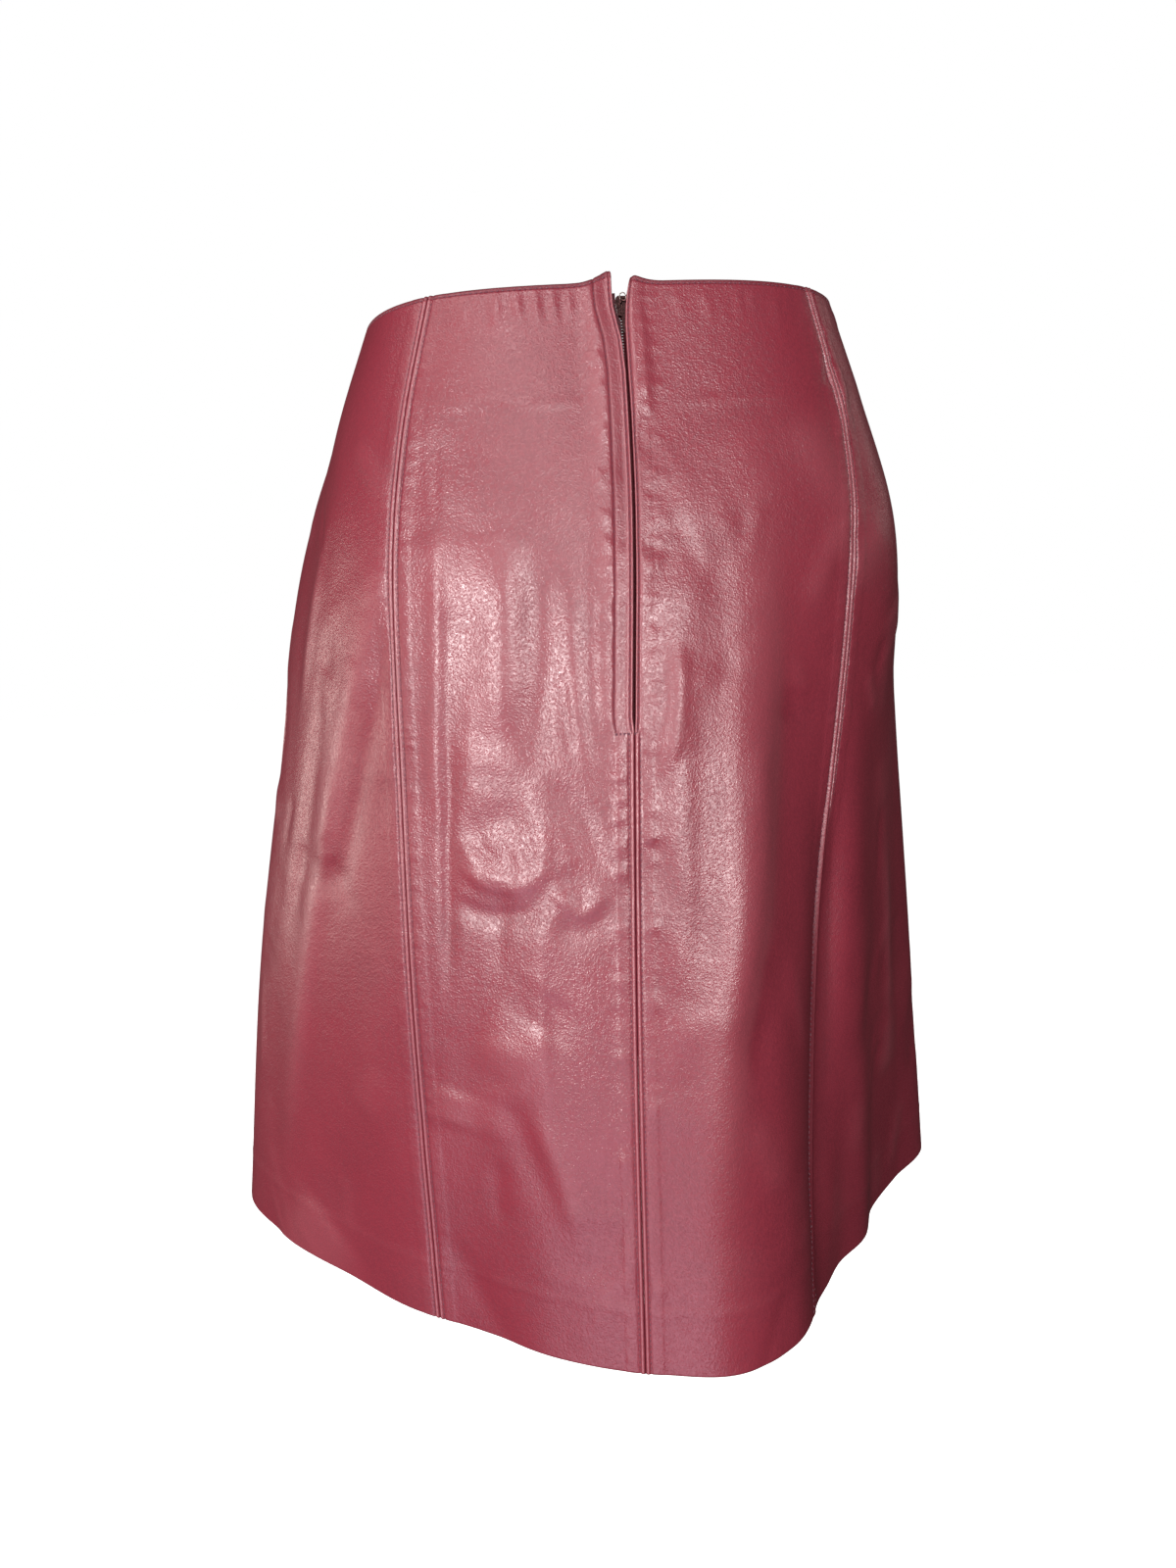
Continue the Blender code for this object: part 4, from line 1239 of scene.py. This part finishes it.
def wire(centre, reach, start, end, radius, count=24, sides=8):
    """A bent wire as a mesh: an arc across and up about a centre, all in mm about the pin."""
    turns = np.radians(np.linspace(start, end, count))
    along = np.arange(sides) * 2 * math.pi / sides
    away = np.stack([np.cos(turns), np.sin(turns), np.zeros(count)], axis=-1)
    middle = np.array(centre) + away * np.array([*reach, 0.0])
    ring = (
        middle[:, None, :]
        + away[:, None, :] * np.cos(along)[None, :, None] * radius
        + np.array([0.0, 0.0, 1.0]) * np.sin(along)[None, :, None] * radius
    )
    index = np.arange(count * sides).reshape(count, sides)
    a = index[:-1]
    b = index[1:]
    quads = np.stack([a, np.roll(a, -1, axis=1), np.roll(b, -1, axis=1), b], axis=-1).reshape(-1, 4)
    caps = [index[0, ::-1].tolist(), index[-1].tolist()]
    return pin_mesh("wire", ring.reshape(-1, 3), quads.tolist() + caps)


def join_meshes(name, meshes, bevel):
    """One object of several closed meshes, with rounded edges."""
    shape = bmesh.new()
    for mesh in meshes:
        shape.from_mesh(mesh)
    bmesh.ops.recalc_face_normals(shape, faces=shape.faces)
    joined = bpy.data.meshes.new(name)
    shape.to_mesh(joined)
    shape.free()
    for polygon in joined.polygons:
        polygon.use_smooth = True
    made = linked(name, joined)
    rounding = add_bevel(made, bevel)
    rounding.limit_method = "ANGLE"
    rounding.angle_limit = math.radians(40)
    rounding.harden_normals = True
    return made


# Outlines about the pin, as (across, up) in mm.
SLIDER_OUTLINE = (
    (-2.7, -6.2), (2.7, -6.2), (3.1, -3.5), (3.6, 0.6), (3.3, 2.0), (2.4, 3.0),
    (-2.4, 3.0), (-3.3, 2.0), (-3.6, 0.6), (-3.1, -3.5),
)
TAB_OUTLINE = (
    (-0.84, -1.3), (-1.2, -1.9), (-1.2, -13.6), (-0.9, -14.2), (-0.4, -14.5),
    (0.4, -14.5), (0.9, -14.2), (1.2, -13.6), (1.2, -1.9), (0.84, -1.3),
)
TAB_HALF = 0.4
KNUCKLE_HALF = 0.6
KNUCKLE_RADII = (0.62, 1.0)
KNUCKLE_SIDES = 20


def build_slider():
    """The shield-shaped body, its raised rails, the two cheeks, the pin and the wire loop on top."""
    meshes = [prism(SLIDER_OUTLINE, -4.1, -1.35)]
    for side in (-1, 1):
        rail = [(side * 2.0, -5.9), (side * 2.5, -5.9), (side * 3.3, 0.4), (side * 2.8, 0.4)]
        meshes.append(prism(rail, -1.5, -1.1))
        meshes.append(block(side * 0.9, side * 1.6, -0.9, 0.7, -1.5, 0.35))
    meshes.append(block(-0.9, 0.9, -0.35, 0.35, -0.35, 0.35))
    made = join_meshes("slider_body", meshes, 0.16 * MM)
    # The slider body has nickel with painted shade.
    finish_piece(made, NICKEL_WITH_PAINTED_SHADE)
    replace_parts(made, "zip_slider")
    loop = join_meshes("slider_loop", [wire((0.0, 2.5, -1.4), (1.5, 1.9), -50, 230, 0.26)], 0.05 * MM)
    finish_piece(loop, METAL)


def knuckle():
    """The tube at the tab's top, round the pin."""
    turns = [2 * math.pi * i / KNUCKLE_SIDES for i in range(KNUCKLE_SIDES)]
    points = [
        (across, radius * math.sin(turn), radius * math.cos(turn))
        for across in (-KNUCKLE_HALF, KNUCKLE_HALF) for radius in KNUCKLE_RADII for turn in turns
    ]
    faces = []
    for i in range(KNUCKLE_SIDES):
        j = (i + 1) % KNUCKLE_SIDES
        for low, high in ((0, 1), (1, 3), (3, 2), (2, 0)):
            a, b = low * KNUCKLE_SIDES, high * KNUCKLE_SIDES
            faces.append([a + i, a + j, b + j, b + i])
    return pin_mesh("knuckle", points, faces)


def build_pull():
    """The knuckle round the pin and the flat tab below it, with a raised rib down each side."""
    meshes = [prism(TAB_OUTLINE, -TAB_HALF, TAB_HALF), block(-0.6, 0.6, -1.5, -0.75, -TAB_HALF, TAB_HALF)]
    for side in (-1, 1):
        rib = [(side * 0.75, -2.4), (side * 1.0, -2.4), (side * 1.0, -13.2), (side * 0.75, -13.2)]
        meshes.append(prism(rib, TAB_HALF - 0.05, TAB_HALF + 0.12))
    made = join_meshes("pull_tab_detail", [*meshes, knuckle()], 0.07 * MM)
    # The tab has nickel with painted shade.
    finish_piece(made, NICKEL_WITH_PAINTED_SHADE, "pull_tab")
    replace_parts(made, "zip_pull")


def add_zip():
    for name, side in (("zip_tape_left", -1), ("zip_tape_right", 1)):
        tape = build_tape(name + "_weave", side)
        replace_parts(tape, name)
    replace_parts(build_teeth(), "zip_chain")
    build_slider()
    build_pull()


add_zip()


# ---------------------------------------------------------------- stage, light and camera

FLOOR_DROP = 1.0
FLOOR_REACH = 14.0
WHITE = (1.0, 1.0, 1.0)


def add_floor():
    mesh = bpy.data.meshes.new("floor")
    signs = ((-1, -1), (1, -1), (1, 1), (-1, 1))
    mesh.from_pydata([(x * FLOOR_REACH, y * FLOOR_REACH, -FLOOR_DROP) for x, y in signs], [], [(0, 1, 2, 3)])
    floor = linked("floor", mesh)
    look = Look("pale_floor")
    look.shader({
        "Base Color": (0.92, 0.92, 0.92),
        "Roughness": 0.9,
        "Specular IOR Level": 0.1,
        "Emission Color": WHITE,
        "Emission Strength": 1.0,
    })
    mesh.materials.append(look.material)
    floor.visible_diffuse = False
    floor.visible_glossy = False
    floor.visible_shadow = False


def add_world():
    """White to the camera, as a plain backdrop, and a dim warm grey room to the leather."""
    world = bpy.data.worlds.new("studio")
    bpy.context.scene.world = world
    world.use_nodes = True
    nodes = world.node_tree.nodes
    links = world.node_tree.links
    room = nodes["Background"]
    backdrop = nodes.new("ShaderNodeBackground")
    for node, colour, strength in ((room, (0.80, 0.68, 0.64), 0.035), (backdrop, WHITE, 1.0)):
        node.inputs["Color"].default_value = (*colour, 1.0)
        node.inputs["Strength"].default_value = strength
    mix = nodes.new("ShaderNodeMixShader")
    links.new(nodes.new("ShaderNodeLightPath").outputs["Is Camera Ray"], mix.inputs["Fac"])
    links.new(room.outputs["Background"], mix.inputs[1])
    links.new(backdrop.outputs["Background"], mix.inputs[2])
    links.new(mix.outputs["Shader"], nodes["World Output"].inputs["Surface"])


CAMERA_AZIMUTH = -7.2
CAMERA_AWAY = 0.606
CAMERA_DROP = 0.154
CAMERA_PAN = 0.15
CAMERA_PITCH = 8.0
CAMERA_ROLL = -2.11
CAMERA_LENS = 24.75
SENSOR_WIDTH = 36.0


def add_camera():
    azimuth = math.radians(CAMERA_AZIMUTH)
    pitch = math.radians(CAMERA_PITCH)
    heading = math.radians(CAMERA_AZIMUTH + CAMERA_PAN)
    roll = math.radians(CAMERA_ROLL)
    place = Vector((math.sin(azimuth) * CAMERA_AWAY, -math.cos(azimuth) * CAMERA_AWAY, -CAMERA_DROP))
    level = math.cos(pitch)
    ahead = Vector((-math.sin(heading) * level, math.cos(heading) * level, -math.sin(pitch)))
    level_right = Vector((math.cos(heading), math.sin(heading), 0.0))
    level_up = level_right.cross(ahead)
    right = level_right * math.cos(roll) + level_up * math.sin(roll)
    up = level_up * math.cos(roll) - level_right * math.sin(roll)
    data = bpy.data.cameras.new("camera")
    data.sensor_width = SENSOR_WIDTH
    data.lens = CAMERA_LENS
    data.clip_start = 0.01
    data.clip_end = 100.0
    camera = linked("camera", data)
    camera.matrix_world = Matrix.Translation(place) @ Matrix((right, up, -ahead)).transposed().to_4x4()
    bpy.context.scene.camera = camera


# Softboxes about the object's middle: where each is (degrees round from behind it, positive to the
# wearer's right, and degrees up), how wide and high in m, its power in W and its colour.
NEUTRAL = (1.0, 0.97, 0.96)
SOFTBOXES = table(
    "name round up wide high power colour",
    ("key", -38, 8, 0.28, 0.42, 20.0, NEUTRAL),
    ("key_wide", -40, 12, 0.7, 0.6, 3.2, NEUTRAL),
    ("middle", -3, 14, 0.14, 0.40, 4.5, NEUTRAL),
    ("right", 10, 14, 0.18, 0.50, 16.0, NEUTRAL),
    ("right_wide", 24, 12, 0.6, 0.6, 1.4, NEUTRAL),
    ("above", -13, 42, 0.5, 0.35, 7.5, NEUTRAL),
    ("front", -9, 2, 0.9, 0.8, 0.8, (1.0, 0.95, 0.97)),
    ("low", -24, -27, 1.5, 0.7, 9.0, (0.86, 0.84, 1.0)),
    ("left", -84, 0, 1.2, 0.45, 5.8, (1.0, 0.86, 0.78)),
    ("left_back", -110, -2, 0.5, 0.6, 5.5, (1.0, 0.88, 0.80)),
    ("high", -58, 50, 1.3, 0.5, 8.0, (1.0, 0.95, 0.90)),
    ("rim", 108, 24, 0.5, 1.0, 1.4, (1.0, 0.90, 0.84)),
    ("far_side", 172, 20, 1.2, 1.0, 16.0, (1.0, 0.97, 0.95)),
)
SOFTBOX_AWAY = 2.0
MIDDLE = Vector((0.0, 0.0, -0.2))


def add_softboxes():
    for row in SOFTBOXES:
        turn = math.radians(row["round"])
        up = math.radians(row["up"])
        away = Vector((math.sin(turn) * math.cos(up), -math.cos(turn) * math.cos(up), math.sin(up)))
        light = bpy.data.lights.new(row["name"], "AREA")
        light.shape = "RECTANGLE"
        light.size = row["wide"]
        light.size_y = row["high"]
        light.energy = row["power"]
        light.color = row["colour"]
        made = linked(row["name"], light)
        made.location = MIDDLE + away * SOFTBOX_AWAY
        made.rotation_euler = away.to_track_quat("Z", "Y").to_euler()


add_floor()
add_world()
add_softboxes()
add_camera()
bpy.context.scene.view_settings.view_transform = "Standard"
